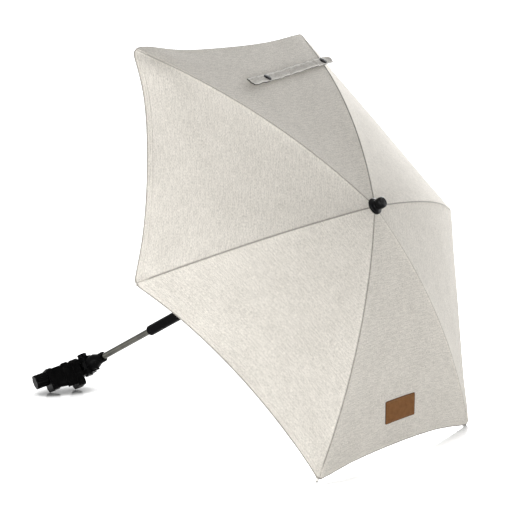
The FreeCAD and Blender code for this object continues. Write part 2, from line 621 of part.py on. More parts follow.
def make_swivel_washer():
    """The washer under the swivel's knob."""
    seat = clamp_point(0, 0, -CHEEK_OUT)
    ring = cylinder(SWIVEL_WASHER_RADIUS, seat - X_AXIS * SWIVEL_WASHER_THICK, seat)
    return ring.cut(make_swivel_bolt())


def fluted_knob(radius, start, end, across):
    """A round knob with flutes along it; across is any direction square to its axis."""
    knob = cylinder(radius, start, end)
    axis = end - start
    flutes = []
    for index in range(KNOB_FLUTES):
        turn = Rotation(axis, 360.0 * index / KNOB_FLUTES)
        offset = turn.multVec(across) * (radius + FLUTE_RADIUS / 2)
        flutes.append(cylinder(FLUTE_RADIUS, start + offset, end + offset))
    return knob.cut(flutes)


def make_swivel_knob():
    """The hand knob that tightens the swivel."""
    start = clamp_point(0, 0, SWIVEL_KNOB_Q)
    knob = fluted_knob(SWIVEL_KNOB_RADIUS, start, start - X_AXIS * SWIVEL_KNOB_THICK, Y_AXIS)
    end = start - X_AXIS * (SWIVEL_KNOB_THICK / 2)
    return knob.cut(cylinder(BOLT_RADIUS + FIT_CLEAR, start, end))


def make_screw_knob():
    """The long fluted knob on the jaw screw."""
    start = clamp_point(KNOB_S, SCREW_V, SCREW_Q)
    return fluted_knob(KNOB_RADIUS, start, start - Z_AXIS * KNOB_LENGTH, X_AXIS).cut(make_screw())


def make_moving_jaw():
    """The jaw that the screw drives along the clamp's back."""
    jaw = clamp_arm(JAW_S, JAW_S + JAW_THICK, BACK_INNER + SLOT_CLEAR, JAW_TIP, CLAMP_TOP + JAW_INSET,
                    CLAMP_FOOT - JAW_INSET)
    return jaw.cut(make_screw_bore())


def make_pads():
    """The two rubber pads, hollowed for the pram's tube."""
    low = GRIPPED_V - PAD_HEIGHT / 2
    high = GRIPPED_V + PAD_HEIGHT / 2
    thick = PAD_MIN + PAD_LIP
    top = CLAMP_TOP + PAD_INSET
    foot = CLAMP_FOOT - PAD_INSET
    held = cylinder(GRIPPED_RADIUS, clamp_point(GRIPPED_S, GRIPPED_V, CLAMP_TOP),
                    clamp_point(GRIPPED_S, GRIPPED_V, CLAMP_FOOT))
    fixed = clamp_box(MOUTH_S, MOUTH_S + thick, low, high, top, foot).cut(held)
    moving = clamp_box(JAW_S - thick, JAW_S, low, high, top, foot).cut(held)
    return fixed, moving


def make_snap(place, reach):
    """A black snap fastener on the strap, with a shank that ends at this height over the cloth."""
    top = STRAP_OFF_CLOTH + STRAP_THICK
    head = cylinder(SNAP_RADIUS, Vector(0, 0, top), Vector(0, 0, top + SNAP_THICK))
    snap = united([head, cylinder(SNAP_SHANK, Vector(0, 0, reach), Vector(0, 0, top))])
    snap.Placement = place
    return snap


# Where the trim sits on the cloth: the panels that carry it, shares of the way from cap to hem, and the
# degrees that the strap points away from the hem
STRAP_PANEL = "canopy_panel_4"
STRAP_ALONG = 0.775
STRAP_HEADING = 98.0
LABEL_PANEL = "canopy_panel_2"
BESIDE_LABEL = "canopy_panel_1"
LABEL_ALONG = 0.85


def make_label():
    """The bare label patch over mid panel, and the room it takes in the cloth of the next rib."""
    half_length = LABEL_LENGTH / 2
    half_width = LABEL_WIDTH / 2
    patch = box(-half_length, half_length, -half_width, half_width, -LABEL_SUNK, LABEL_THICK - LABEL_SUNK)
    room_length = half_length + SLOT_CLEAR
    room_width = half_width + SLOT_CLEAR
    room = box(-room_length, room_length, -room_width, room_width, -LABEL_THICK - CLOTH_THICK, LABEL_THICK)
    for shape in (patch, room):
        shape.Placement = on_cloth(LABEL_PANEL, -1, LABEL_ALONG, 1, 0)
    return patch, room


def make_parts():
    """All pieces in the pole's frame, by node name."""
    parts = {}
    rib = make_rib()
    tip = make_rib_tip(rib)
    clip = make_rib_clip(rib)
    stretcher = make_stretcher()
    half_panel = make_half_panel()
    panel = half_panel.fuse(half_panel.mirror(ORIGIN, Y_AXIS))
    for index in range(RIB_COUNT):
        number = str(index + 1)
        parts["canopy_panel_" + number] = around(panel, index)
        parts["rib_" + number] = around(rib, index)
        parts["rib_tip_" + number] = around(tip, index)
        parts["rib_clip_" + number] = around(clip, index)
        parts["stretcher_" + number] = around(stretcher, index)

    at_rib = on_cloth(STRAP_PANEL, 1, STRAP_ALONG, 0, 0)
    at_middle = on_cloth(STRAP_PANEL, 1, STRAP_ALONG, 1, STRAP_HEADING)
    strap_place = Placement(at_rib.Base, at_middle.Rotation)
    strap_end = STRAP_LENGTH - STRAP_TAIL
    loose_place = strap_place * Placement(Vector(strap_end - LOOSE_SNAP_INSET, 0, 0), Rotation())
    held_snap = make_snap(strap_place, -CLOTH_THICK)
    loose_snap = make_snap(loose_place, STRAP_OFF_CLOTH - STUD_LENGTH)
    strap = box(-STRAP_TAIL, strap_end, -STRAP_WIDTH / 2, STRAP_WIDTH / 2,
                STRAP_OFF_CLOTH, STRAP_OFF_CLOTH + STRAP_THICK)
    strap.Placement = strap_place
    parts["tie_strap"] = strap.cut([held_snap, loose_snap])
    parts["strap_snaps"] = Part.makeCompound([held_snap, loose_snap])
    parts[STRAP_PANEL] = parts[STRAP_PANEL].cut(held_snap)

    label, label_room = make_label()
    parts["label_patch"] = label
    parts[LABEL_PANEL] = parts[LABEL_PANEL].cut(label)
    parts[BESIDE_LABEL] = parts[BESIDE_LABEL].cut(label_room)

    parts["crown"], parts["crown_pins"] = make_crown()
    parts["cap_washer"] = make_cap_washer()
    parts["top_cap"] = make_cap()
    parts["upper_tube"] = make_tube(TILT_Z + FORK_THROAT, CANOPY_RISE + CAP_CLOTH_GAP + CAP_SOCKET)
    parts["runner"], parts["runner_pins"] = make_runner()
    parts["runner_latch"] = make_latch()
    parts["tilt_fork"] = make_tilt_fork()
    parts["tilt_pin"] = make_tilt_pin()
    parts["tilt_button"] = make_tilt_button()
    parts["sleeve"] = make_sleeve()
    parts["lower_tube"] = make_tube(SOCKET_MOUTH - TUBE_IN_SOCKET, SLEEVE_END + TUBE_IN_SLEEVE)
    parts["socket"] = make_socket()
    parts["socket_button"] = make_socket_button()

    pad_fixed, pad_moving = make_pads()
    clamp = {
        "swivel_bolt": make_swivel_bolt(),
        "swivel_washer": make_swivel_washer(),
        "swivel_knob": make_swivel_knob(),
        "clamp_frame": make_clamp_frame(),
        "jaw_pad_fixed": pad_fixed,
        "moving_jaw": make_moving_jaw(),
        "jaw_pad_moving": pad_moving,
        "jaw_screw": make_screw(),
        "screw_knob": make_screw_knob(),
    }
    for name, shape in clamp.items():
        parts[name] = swung(shape)
    return parts


def lying_angle(frame):
    """Degrees of the pole above the floor when two rib tips and the clamp frame touch it."""
    tip_x = TIP.x * math.cos(math.pi / RIB_COUNT)
    low = 0.0
    high = 90.0
    close_enough = 1e-9
    while high - low > close_enough:
        angle = (low + high) / 2
        down_x = math.cos(math.radians(angle))
        down_z = -math.sin(math.radians(angle))
        tips = tip_x * down_x + TIP.z * down_z + TIP_BALL_RADIUS
        clamp = max(vertex.X * down_x + vertex.Z * down_z for vertex in frame.Vertexes)
        if clamp > tips:
            high = angle
        else:
            low = angle
    return low


def lying_place(parts):
    """Placement that lays the parasol on the floor, with the middle of its box over the origin."""
    laid = Placement(ORIGIN, Rotation(Y_AXIS, 90 - lying_angle(parts["clamp_frame"])))
    extent = FreeCAD.BoundBox()
    for shape in parts.values():
        copy = shape.copy()
        copy.Placement = laid * copy.Placement
        extent.add(copy.optimalBoundingBox(False, False))
    return Placement(Vector(-extent.Center.x, -extent.Center.y, -extent.ZMin), Rotation()) * laid


PARTS = make_parts()
LYING = lying_place(PARTS)
print("The ribs fold through", round(FOLD_TRAVEL, 2), "degrees.")
os.makedirs("parts", exist_ok=True)
for node, piece in PARTS.items():
    piece.Placement = LYING * piece.Placement
    piece.exportStep(os.path.join("parts", node + ".step"))
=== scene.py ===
import json
import math

import bmesh
import bpy
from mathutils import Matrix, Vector, noise

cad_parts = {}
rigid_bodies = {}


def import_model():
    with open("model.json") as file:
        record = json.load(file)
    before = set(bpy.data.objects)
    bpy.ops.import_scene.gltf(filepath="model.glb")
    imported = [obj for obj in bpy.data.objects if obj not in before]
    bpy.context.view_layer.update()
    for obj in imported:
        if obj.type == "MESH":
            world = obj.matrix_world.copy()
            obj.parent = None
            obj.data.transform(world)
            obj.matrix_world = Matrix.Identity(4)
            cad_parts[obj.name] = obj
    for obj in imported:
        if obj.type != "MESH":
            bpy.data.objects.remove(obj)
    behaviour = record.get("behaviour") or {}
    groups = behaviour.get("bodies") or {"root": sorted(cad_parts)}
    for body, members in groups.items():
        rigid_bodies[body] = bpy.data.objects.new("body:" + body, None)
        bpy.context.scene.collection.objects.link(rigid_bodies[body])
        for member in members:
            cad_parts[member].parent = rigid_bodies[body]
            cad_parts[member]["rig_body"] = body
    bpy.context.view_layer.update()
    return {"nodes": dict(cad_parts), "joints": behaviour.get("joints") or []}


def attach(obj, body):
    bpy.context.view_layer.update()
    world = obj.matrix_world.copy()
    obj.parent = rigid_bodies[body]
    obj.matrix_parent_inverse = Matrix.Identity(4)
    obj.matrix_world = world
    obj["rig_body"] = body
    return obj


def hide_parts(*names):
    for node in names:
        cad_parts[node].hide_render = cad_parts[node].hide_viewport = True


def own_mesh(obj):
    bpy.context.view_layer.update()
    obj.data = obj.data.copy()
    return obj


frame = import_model()


# Pole tubes
# Two lengths of thin steel tube, drawn to 9 mm and dark chromed. The upper one carries the canopy and ends in
# the tilt joint, and the lower one runs from the black sleeve into the clamp's socket.
CHROME = (0.115, 0.113, 0.098, 1)
DRAWN_DARK = (0.05, 0.05, 0.048, 1)
DRAWN_DARK_SHARE = 0.75
DRAWN_STREAKS = (420, 420, 3)
HANDLING_MARKS = 55.0
WORN_FROM, WORN_TO = 0.18, 0.34
WORN_SHARE = 0.9
NOISE_LOW, NOISE_HIGH = 0.3, 0.7
rib_joints = [joint for joint in frame["joints"] if joint["child"].startswith("rib_body_")]
rib_joints.sort(key=lambda joint: joint["child"])
hinges = [Vector(joint["pos_m"]) for joint in rib_joints]
hub = sum(hinges, Vector()) / len(hinges)
to_floor = ((hinges[0] + hinges[1]) / 2 - hub).normalized()
up_pole = (hinges[1] - hub).cross(hinges[2] - hub).normalized()
sideways = up_pole.cross(to_floor)
pole_lean = math.acos(up_pole.z)


def node(tree, kind, values=(), **settings):
    """A shader node: values go to its inputs by place or name, and a socket among them is linked."""
    made = tree.nodes.new("ShaderNode" + kind)
    for key, value in settings.items():
        setattr(made, key, value)
    for key, value in values.items() if isinstance(values, dict) else enumerate(values):
        if isinstance(value, bpy.types.NodeSocket):
            tree.links.new(value, made.inputs[key])
        else:
            made.inputs[key].default_value = value
    return made


def spread(tree, value, low, high, start=0.0, end=1.0):
    """A value between start and end stretched to run from low to high."""
    return node(tree, "MapRange", [value, start, end, low, high]).outputs[0]


def tinted(tree, share, first, second):
    """A colour between two, by a share from 0 to 1."""
    mixed = node(tree, "Mix", {0: share, 6: first, 7: second}, data_type="RGBA")
    return mixed.outputs[2]


def speckle(tree, place, scale, detail=2.0, roughness=0.5):
    """Soft noise from 0 to 1 at a place."""
    values = {"Vector": place, "Scale": scale, "Detail": detail, "Roughness": roughness}
    return node(tree, "TexNoise", values).outputs[0]


def new_finish(name, **sockets):
    """A material, its tree and its shader, with the sockets that are the same all over it."""
    made = bpy.data.materials.new(name)
    made.use_nodes = True
    shader = made.node_tree.nodes["Principled BSDF"]
    for key, value in sockets.items():
        shader.inputs[key.replace("_", " ")].default_value = value
    return made, made.node_tree, shader


def new_group(name, inputs, outputs):
    """An effect that several finishes share: a node group with named sockets, and its two ends."""
    tree = bpy.data.node_groups.new(name, "ShaderNodeTree")
    for socket, (kind, value) in inputs.items():
        made = tree.interface.new_socket(socket, in_out="INPUT", socket_type="NodeSocket" + kind)
        made.default_value = value
    for socket, kind in outputs.items():
        tree.interface.new_socket(socket, in_out="OUTPUT", socket_type="NodeSocket" + kind)
    return tree, tree.nodes.new("NodeGroupInput").outputs, tree.nodes.new("NodeGroupOutput").inputs


def placed(tree, group, **values):
    """A group in a finish, with its own values; gives its outputs."""
    used = tree.nodes.new("ShaderNodeGroup")
    used.node_tree = group
    for key, value in values.items():
        socket = used.inputs[key.replace("_", " ")]
        if isinstance(value, bpy.types.NodeSocket):
            tree.links.new(value, socket)
        else:
            socket.default_value = value
    return used.outputs


def wire_up(tree, shader, strength, distance, **sockets):
    """Links what changes over the surface to the shader, with Height through a bump."""
    for key, value in sockets.items():
        if key == "Height":
            values = {"Strength": strength, "Distance": distance, "Height": value}
            tree.links.new(node(tree, "Bump", values).outputs[0], shader.inputs["Normal"])
        else:
            tree.links.new(value, shader.inputs[key.replace("_", " ")])


def coat(names, finish):
    """Gives CAD parts their finish."""
    for name in names:
        mesh = frame["nodes"][name].data
        mesh.materials.clear()
        mesh.materials.append(finish)


# Drawn metal: streaks along the pole and faint marks of handling, for rods and tubes
drawn_metal, given, gives = new_group(
    "Drawn metal",
    {"Metal": ("Color", CHROME), "Smooth": ("Float", 0.1), "Rough": ("Float", 0.3)},
    {"Color": "Color", "Roughness": "Float", "Height": "Float"},
)
place = node(drawn_metal, "TexCoord").outputs["Object"]
turned_place = node(drawn_metal, "Mapping", {"Vector": place, "Rotation": (0, -pole_lean, 0)}).outputs[0]
along = node(drawn_metal, "Mapping", {"Vector": turned_place, "Scale": DRAWN_STREAKS}).outputs[0]
streaks = speckle(drawn_metal, along, 1.0, detail=3.0)
marks = speckle(drawn_metal, place, HANDLING_MARKS, detail=4.0, roughness=0.6)
worn = node(drawn_metal, "Math", [streaks, marks], operation="MULTIPLY").outputs[0]
worn_share = spread(drawn_metal, worn, 0.0, WORN_SHARE, WORN_FROM, WORN_TO)
darker = tinted(drawn_metal, DRAWN_DARK_SHARE, given["Metal"], DRAWN_DARK)
drawn_metal.links.new(tinted(drawn_metal, worn_share, given["Metal"], darker), gives["Color"])
rough = spread(drawn_metal, marks, given["Smooth"], given["Rough"], NOISE_LOW, NOISE_HIGH)
drawn_metal.links.new(rough, gives["Roughness"])
drawn_metal.links.new(streaks, gives["Height"])


def drawn_finish(name, metal, smooth, rough, bump, depth):
    """A drawn metal whose roughness runs from smooth to rough, with its streaks raised a little."""
    finish, tree, shader = new_finish(name, Metallic=1.0)
    drawn = placed(tree, drawn_metal, Metal=metal, Smooth=smooth, Rough=rough)
    wire_up(tree, shader, bump, depth, Base_Color=drawn["Color"], Roughness=drawn["Roughness"],
            Height=drawn["Height"])
    return finish


chromed = drawn_finish("chromed_tube", CHROME, smooth=0.05, rough=0.14, bump=0.12, depth=0.0002)
coat(["upper_tube", "lower_tube"], chromed)


# Ribs, stretchers and their pins
# Six ribs of 3 mm steel wire, bowed and pressed flat at the eye, with six thinner stretchers under them.
# They turn on short steel pins in the crown and the runner.
RIB_COUNT = 6
RIB_STEEL = (0.50, 0.50, 0.51, 1)
PIN_STEEL = (0.56, 0.56, 0.57, 1)
numbers = [str(index + 1) for index in range(RIB_COUNT)]
wire_steel = drawn_finish("drawn_wire", RIB_STEEL, smooth=0.26, rough=0.42, bump=0.2, depth=0.0003)
coat(["rib_" + number for number in numbers] + ["stretcher_" + number for number in numbers], wire_steel)
turned_steel = drawn_finish("turned_steel", PIN_STEEL, smooth=0.2, rough=0.36, bump=0.3, depth=0.0002)
coat(["crown_pins", "runner_pins", "tilt_pin", "jaw_screw", "cap_washer"], turned_steel)


# Moulded frame parts
# Crown, runner with its thumb latch, rib brackets and the tilt fork, moulded in black nylon. Their edges
# come rounded out of the mould, and the surface has a fine satin grain.
NYLON = (0.004, 0.004, 0.0042, 1)
DUST = (0.30, 0.30, 0.30, 1)
DUST_SHARE = 0.12
SCRATCH_TURN = (0.4, 0.7, 0.2)
SCRATCH_SCALE = (60, 60, 900)
SCRATCH_FROM, SCRATCH_TO = 0.62, 0.8
CLOUD_SCALE = 38.0
GRAIN_DEPTH = 0.0002
MOULD_EDGE = 0.00045
SHARP_EDGE = math.radians(32)
FLAT_FACE = math.radians(0.8)
WELD = 0.000002
SMOOTH_EDGE = math.radians(40)

moulded_grain, given, gives = new_group(
    "Moulded grain",
    {"Plastic": ("Color", NYLON), "Grain": ("Float", 2200.0), "Smooth": ("Float", 0.3),
     "Rough": ("Float", 0.5), "Scuffs": ("Float", 0.4)},
    {"Color": "Color", "Roughness": "Float", "Height": "Float"},
)
place = node(moulded_grain, "TexCoord").outputs["Object"]
grain = speckle(moulded_grain, place, given["Grain"])
cloudy = speckle(moulded_grain, place, CLOUD_SCALE, detail=4.0, roughness=0.6)
slanted = {"Vector": place, "Rotation": SCRATCH_TURN, "Scale": SCRATCH_SCALE}
scratches = speckle(moulded_grain, node(moulded_grain, "Mapping", slanted).outputs[0], 1.0, detail=3.0)
scuff = spread(moulded_grain, scratches, 0.0, 1.0, SCRATCH_FROM, SCRATCH_TO)
scuffed = node(moulded_grain, "Math", [scuff, given["Scuffs"]], operation="MULTIPLY").outputs[0]
dusty = node(moulded_grain, "Math", [scuffed, DUST_SHARE], operation="MULTIPLY").outputs[0]
moulded_grain.links.new(tinted(moulded_grain, dusty, given["Plastic"], DUST), gives["Color"])
rough = spread(moulded_grain, cloudy, given["Smooth"], given["Rough"], NOISE_LOW, NOISE_HIGH)
rough = node(moulded_grain, "Math", [rough, dusty], operation="ADD").outputs[0]
moulded_grain.links.new(rough, gives["Roughness"])
moulded_grain.links.new(grain, gives["Height"])


def new_piece(name, mesh, finishes):
    """A new object of one mesh, shaded smooth up to its sharp edges."""
    mesh.shade_smooth()
    mesh.set_sharp_from_angle(angle=SMOOTH_EDGE)
    for finish in finishes:
        mesh.materials.append(finish)
    made = bpy.data.objects.new(name, mesh)
    bpy.context.scene.collection.objects.link(made)
    return made


def moulding(node_name, edge, finish):
    """A CAD part with its edges rounded as they come out of the mould; it stands for the plain one."""
    shape = bmesh.new()
    shape.from_mesh(frame["nodes"][node_name].data)
    bmesh.ops.remove_doubles(shape, verts=shape.verts, dist=WELD)
    bmesh.ops.dissolve_limit(shape, angle_limit=FLAT_FACE, verts=shape.verts, edges=shape.edges)
    closed = [line for line in shape.edges if len(line.link_faces) == 2]
    sharp = [line for line in closed if line.calc_face_angle() > SHARP_EDGE]
    bmesh.ops.bevel(shape, geom=sharp, offset=edge, offset_type="OFFSET", segments=3, profile=0.5,
                    affect="EDGES", clamp_overlap=True)
    mesh = bpy.data.meshes.new(node_name + "_moulding")
    shape.to_mesh(mesh)
    shape.free()
    made = new_piece(node_name + "_moulding", mesh, [finish])
    made.modifiers.new("Even shading", "WEIGHTED_NORMAL").keep_sharp = True
    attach(made, frame["nodes"][node_name]["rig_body"])
    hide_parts(node_name)


def moulded_finish(name, plastic, grain, smooth, rough, scuffs, bump, depth=GRAIN_DEPTH, **sockets):
    """A moulded plastic or rubber whose roughness runs from smooth to rough, with its grain and scuffs."""
    finish, tree, shader = new_finish(name, **sockets)
    grained = placed(tree, moulded_grain, Plastic=plastic, Grain=grain, Smooth=smooth, Rough=rough,
                     Scuffs=scuffs)
    wire_up(tree, shader, bump, depth, Base_Color=grained["Color"], Roughness=grained["Roughness"],
            Height=grained["Height"])
    return finish


satin_black = moulded_finish("satin_black_nylon", NYLON, grain=2400.0, smooth=0.34, rough=0.5, scuffs=0.3,
                             bump=0.10, IOR=1.5, Specular_IOR_Level=0.08)
for name in ["crown", "runner", "runner_latch", "tilt_fork"]:
    moulding(name, MOULD_EDGE, satin_black)
for number in numbers:
    moulding("rib_clip_" + number, MOULD_EDGE / 2, satin_black)


# Sleeve and buttons
# The smooth black sleeve on the lower tube, whose tongue takes the tilt pin, and the two release buttons of
# the tilt joint and the socket. All are moulded in black plastic, and the buttons are polished.
GLOSS_BLACK = (0.003, 0.003, 0.0032, 1)
gloss_black = moulded_finish("gloss_black_plastic", GLOSS_BLACK, grain=900.0, smooth=0.12, rough=0.26,
                             scuffs=0.5, bump=0.03, IOR=1.5, Specular_IOR_Level=0.07, Coat_Weight=0.03,
                             Coat_Roughness=0.06)
sleeve_black = moulded_finish("sleeve_black_plastic", GLOSS_BLACK, grain=900.0, smooth=0.16, rough=0.3,
                              scuffs=0.3, bump=0.03, IOR=1.5, Specular_IOR_Level=0.02)
moulding("sleeve", MOULD_EDGE, sleeve_black)
moulding("tilt_button", MOULD_EDGE, gloss_black)
moulding("socket_button", MOULD_EDGE, gloss_black)


# Clamp
# The socket takes the pole and swivels on the clamp's blackened bolt. Socket, frame, jaw and knobs are
# moulded in glass-filled black nylon with a coarser texture, and two soft rubber pads line the jaws.
CLAMP_BLACK = (0.0014, 0.0014, 0.0015, 1)
RUBBER = (0.012, 0.012, 0.012, 1)
BLACKENED = (0.020, 0.020, 0.021, 1)
CLAMP_EDGE = 0.0008
clamp_black = moulded_finish("clamp_nylon", CLAMP_BLACK, grain=1500.0, smooth=0.3, rough=0.46, scuffs=0.35,
                             bump=0.2, IOR=1.5, Specular_IOR_Level=0.028)
for name in ["socket", "clamp_frame", "moving_jaw", "swivel_knob", "screw_knob"]:
    moulding(name, CLAMP_EDGE, clamp_black)
pad_rubber = moulded_finish("pad_rubber", RUBBER, grain=1100.0, smooth=0.6, rough=0.78, scuffs=0.5, bump=0.3,
                            depth=0.0003, IOR=1.45, Specular_IOR_Level=0.2)
for name in ["jaw_pad_fixed", "jaw_pad_moving"]:
    moulding(name, MOULD_EDGE, pad_rubber)
blackened_steel = drawn_finish("blackened_steel", BLACKENED, smooth=0.28, rough=0.45, bump=0.2, depth=0.0002)
coat(["swivel_bolt", "swivel_washer"], blackened_steel)


# Canopy cloth
# Six panels of light greige melange cloth, sewn along the ribs, hemmed at the edge and drawn tight by the
# ribs. Each rib carries the cloth as far as the middle of the panel on both its sides, where it folds.
TIP_RADIUS = 0.340
CANOPY_RISE = 0.121
CANOPY_BOW = 0.0205
HINGE_DROP = 0.0075
CLOTH_INNER = 0.0103
HEM_SCALLOP = 0.010
HEM_LIFT = 0.010
PANEL_DIP = 0.004
CLOTH_THICK = 0.0006
ROW_STEP = 0.007
COLUMNS = 20
HEM_ROWS = (0.013, 0.0105, 0.0092, 0.0084, 0.0078, 0.0072, 0.006, 0.004, 0.002, 0.001, 0.0004, 0.0)
SEAM_COLUMNS = (0.0, 0.0003, 0.0007, 0.0012, 0.0018, 0.0024, 0.0034, 0.0052, 0.0076, 0.0105, 0.014)
HEM_DEPTH = 0.0086
HEM_STITCH = 0.0072
HEM_FOLD = 0.0003
HEM_FOLD_START, HEM_FOLD_END = HEM_DEPTH + 0.0008, HEM_DEPTH - 0.0004
STITCH_DIP = 0.8
STITCH_DIP_WIDTH = 0.0005
HEM_RUCK = 0.00016
HEM_RUCK_SCALE = (150, 12, 7.3)
HEM_RUCK_WIDTH = 0.007
SEAM_RUCK = 0.0003
SEAM_RUCK_SCALE = (60, 60, 3.1)
SEAM_RUCK_WIDTH = 0.006
SEAM_RIDGE = 0.0004
SEAM_RIDGE_WIDTH = 0.0032
SEAM_GROOVE = 0.0010
SEAM_GROOVE_WIDTH = 0.0006
SEAM_GROOVE_END = 0.003
SEAM_STITCH = 0.0034
SEAM_STITCH_ENDS = 3
# The seam's painted shade moves off the seam by this much near the hem, so that its dark line fades there
SEAM_SHADE_FADE = 0.0015
SEAM_SHADE_START, SEAM_SHADE_END = 0.022, 0.006
BESIDE_RIB = 0.02
# Corners, with one value for each rib
CORNER_ROUND = (0.010, 0.018, 0.008, 0.010, 0.024, 0.012)
CORNER_REACH = (0.0010, 0.0040, 0.0078, 0.0010, 0.0095, 0.0031)
CORNER_SLOPE = (0.28, 0.28, 0.22, 0.28, 0.34, 0.28)
CORNER_WIDE = (0.014, 0.014, 0.014, 0.014, 0.022, 0.014)
CORNER_SOFT = (0.048, 0.048, 0.048, 0.048, 0.085, 0.048)
WELT_SIDES = (1, -1, -1, -1, -1, -1)
# How much the hem of each panel hangs out, from the panel after the first rib on
HEM_EASE = (0.005, 0.002, -0.002, -0.001, 0.003, -0.001)
# The same for all ribs and panels
CORNER_SPREAD = 0.050
CORNER_ROWS = 0.060
CORNER_SOFT_END = 0.014
CORNER_BREADTH = 0.045
# Band at the hem's edge where its painted shade is at full strength
HEM_SHADE_FULL = 0.0008
EDGE_ROLL = 0.6
EDGE_ROLL_WIDTH = 0.0005
WELT_HEIGHT = 0.0006
WELT_WIDTH = 0.0024
WELT_START, WELT_END = 0.012, 0.030
TIP_BARREL = 0.012
BARREL_RISE = 0.0010
BARREL_SPREAD = 0.0060
BARREL_START, BARREL_END = TIP_BARREL + 0.010, TIP_BARREL - 0.001
BALL_RISE = 0.0007
BALL_SPREAD = 0.0070
BALL_LENGTH = 0.0060
FLOOR_CLEAR = 0.0003
STITCH_PITCH = 0.0036
STITCH_LENGTH = 0.0026
THREAD_RADIUS = 0.00022
THREAD_SIDES = 6
STITCH_FORM = ((0.0, -1.1), (0.2, 0.35), (0.8, 0.35), (1.0, -1.1))
OFF_EDGES = (0.1, 0.1)
WRINKLE = 0.0005
WRINKLE_SCALE = 11
FINE_WRINKLE = 0.35
FINE_WRINKLE_SCALE = 34
CALM_CAP = (0.03, 0.25)
CALM_RIB = (0.0, 0.03)
CLOTH_LIGHT = (0.818, 0.778, 0.708, 1)
CLOTH_DARK = (0.445, 0.421, 0.380, 1)
# Painted shade: the dark line along the seams and along the hem's edge
CLOTH_SEAM_SHADE = (0.17, 0.158, 0.14, 1)
THREAD = (0.52, 0.49, 0.44, 1)
THREAD_TWIST = 4000.0
WEFT_SCALE = (70, 430, 1)
SLUB_SCALE = (330, 940, 1)
WARP_SCALE = (900, 240, 1)
BROAD_SCALE = 16.0
WEFT_SPAN = (0.28, 0.72)
THREADS_SPAN = (0.34, 0.66)
WEFT_SHARE = 0.62
WARP_SHARE = 0.38
SLUB_SHARE = 0.62
THREADS_SHARE = 0.22
BROAD_SHARE = 0.15
WEAVE_RELIEF = 0.25
WEAVE_PITCH = 0.0007
CLOTH_ROUGHNESS = (0.82, 0.95)

half_turn = math.pi / RIB_COUNT
chord_run = TIP_RADIUS - CLOTH_INNER
chord = math.hypot(chord_run, CANOPY_RISE)
arc_radius = (chord * chord / 4 + CANOPY_BOW * CANOPY_BOW) / (2 * CANOPY_BOW)
arc_sink = arc_radius - CANOPY_BOW
arc_out = (CLOTH_INNER + TIP_RADIUS) / 2 - arc_sink * CANOPY_RISE / chord
arc_up = CANOPY_RISE / 2 - arc_sink * chord_run / chord
inner_angle = math.asin((CLOTH_INNER - arc_out) / arc_radius)
tip_angle = math.asin((TIP_RADIUS - arc_out) / arc_radius)
panel_length = arc_radius * (tip_angle - inner_angle)
tip_along = Vector((math.cos(tip_angle), 0, -math.sin(tip_angle)))


def cloth_point(along, across):
    """Place on the cloth in the rib's plane: along 0 to 1 from cap to hem, across from rib to mid panel."""
    angle = inner_angle + along * (tip_angle - inner_angle)
    out = arc_out + arc_radius * math.sin(angle)
    up = arc_up + arc_radius * math.cos(angle)
    middle = Vector((math.cos(half_turn), math.sin(half_turn), 0))
    sag = 1 - (1 - across) ** 2
    hem = (Vector((0, 0, HEM_LIFT)) - middle * HEM_SCALLOP) * along ** 3
    dip = (middle * math.sin(angle) + Vector((0, 0, math.cos(angle)))) * (4 * PANEL_DIP * along * (1 - along))
    straight = Vector((out, 0, up)).lerp(middle * (out * math.cos(half_turn)) + Vector((0, 0, up)), across)
    return straight + (hem - dip) * sag


def cloth_normal(along, across):
    """Outward direction of the cloth there."""
    step = 0.002
    to_hem = cloth_point(along + step, across) - cloth_point(along - step, across)
    to_middle = cloth_point(along, across + step) - cloth_point(along, across - step)
    return to_hem.cross(to_middle).normalized()


def half_width(along):
    """From rib to mid panel, at this share of the way to the hem."""
    out = arc_out + arc_radius * math.sin(inner_angle + along * (tip_angle - inner_angle))
    return out * math.sin(half_turn)


def on_rib(rib, side, vector):
    """A vector of the rib's plane, or its mirror image, turned to that rib about the pole."""
    angle = (rib - 0.5) * 2 * half_turn
    x = vector.x * math.cos(angle) - side * vector.y * math.sin(angle)
    y = vector.x * math.sin(angle) + side * vector.y * math.cos(angle)
    return to_floor * x + sideways * y + up_pole * vector.z


def laid(rib, side, point):
    """Where a point of the rib's plane lies in the row's frame."""
    return hub + on_rib(rib, side, point - Vector((0, 0, CANOPY_RISE - HINGE_DROP)))


def slant_at_tip():
    """How much the hem falls back from the rib's end, for each step sideways."""
    step = cloth_point(1, BESIDE_RIB) - cloth_point(1, 0)
    return -step.dot(tip_along) / step.y


hem_slant = slant_at_tip()


def bell(distance, width):
    """A smooth hump, 1 in its middle."""
    return math.exp(-(distance / width) ** 2)


def step_up(value, start, end):
    """From 0 at start to 1 at end, smoothly."""
    share = min(1.0, max(0.0, (value - start) / (end - start)))
    return share * share * (3 - 2 * share)


def hem_shift(rib, off_rib):
    """How far the hem runs past the rib's end there: each corner has its own reach and rounding."""
    shift = CORNER_REACH[rib] * bell(off_rib, CORNER_SPREAD)
    slope = math.hypot(1, hem_slant)
    if off_rib < CORNER_ROUND[rib] * hem_slant / slope:
        arc = CORNER_ROUND[rib] * slope - math.sqrt(CORNER_ROUND[rib] ** 2 - off_rib ** 2)
        shift -= arc - hem_slant * off_rib
    return shift


def hem_fold(off_hem):
    """How far the folded hem thickens the cloth."""
    return HEM_FOLD * step_up(off_hem, HEM_FOLD_START, HEM_FOLD_END)


def scaled_noise(scale, x, y, z):
    """Smooth noise from -1 to 1, with a scale for each of its three values."""
    return noise.noise(Vector((x * scale[0], y * scale[1], z * scale[2])))


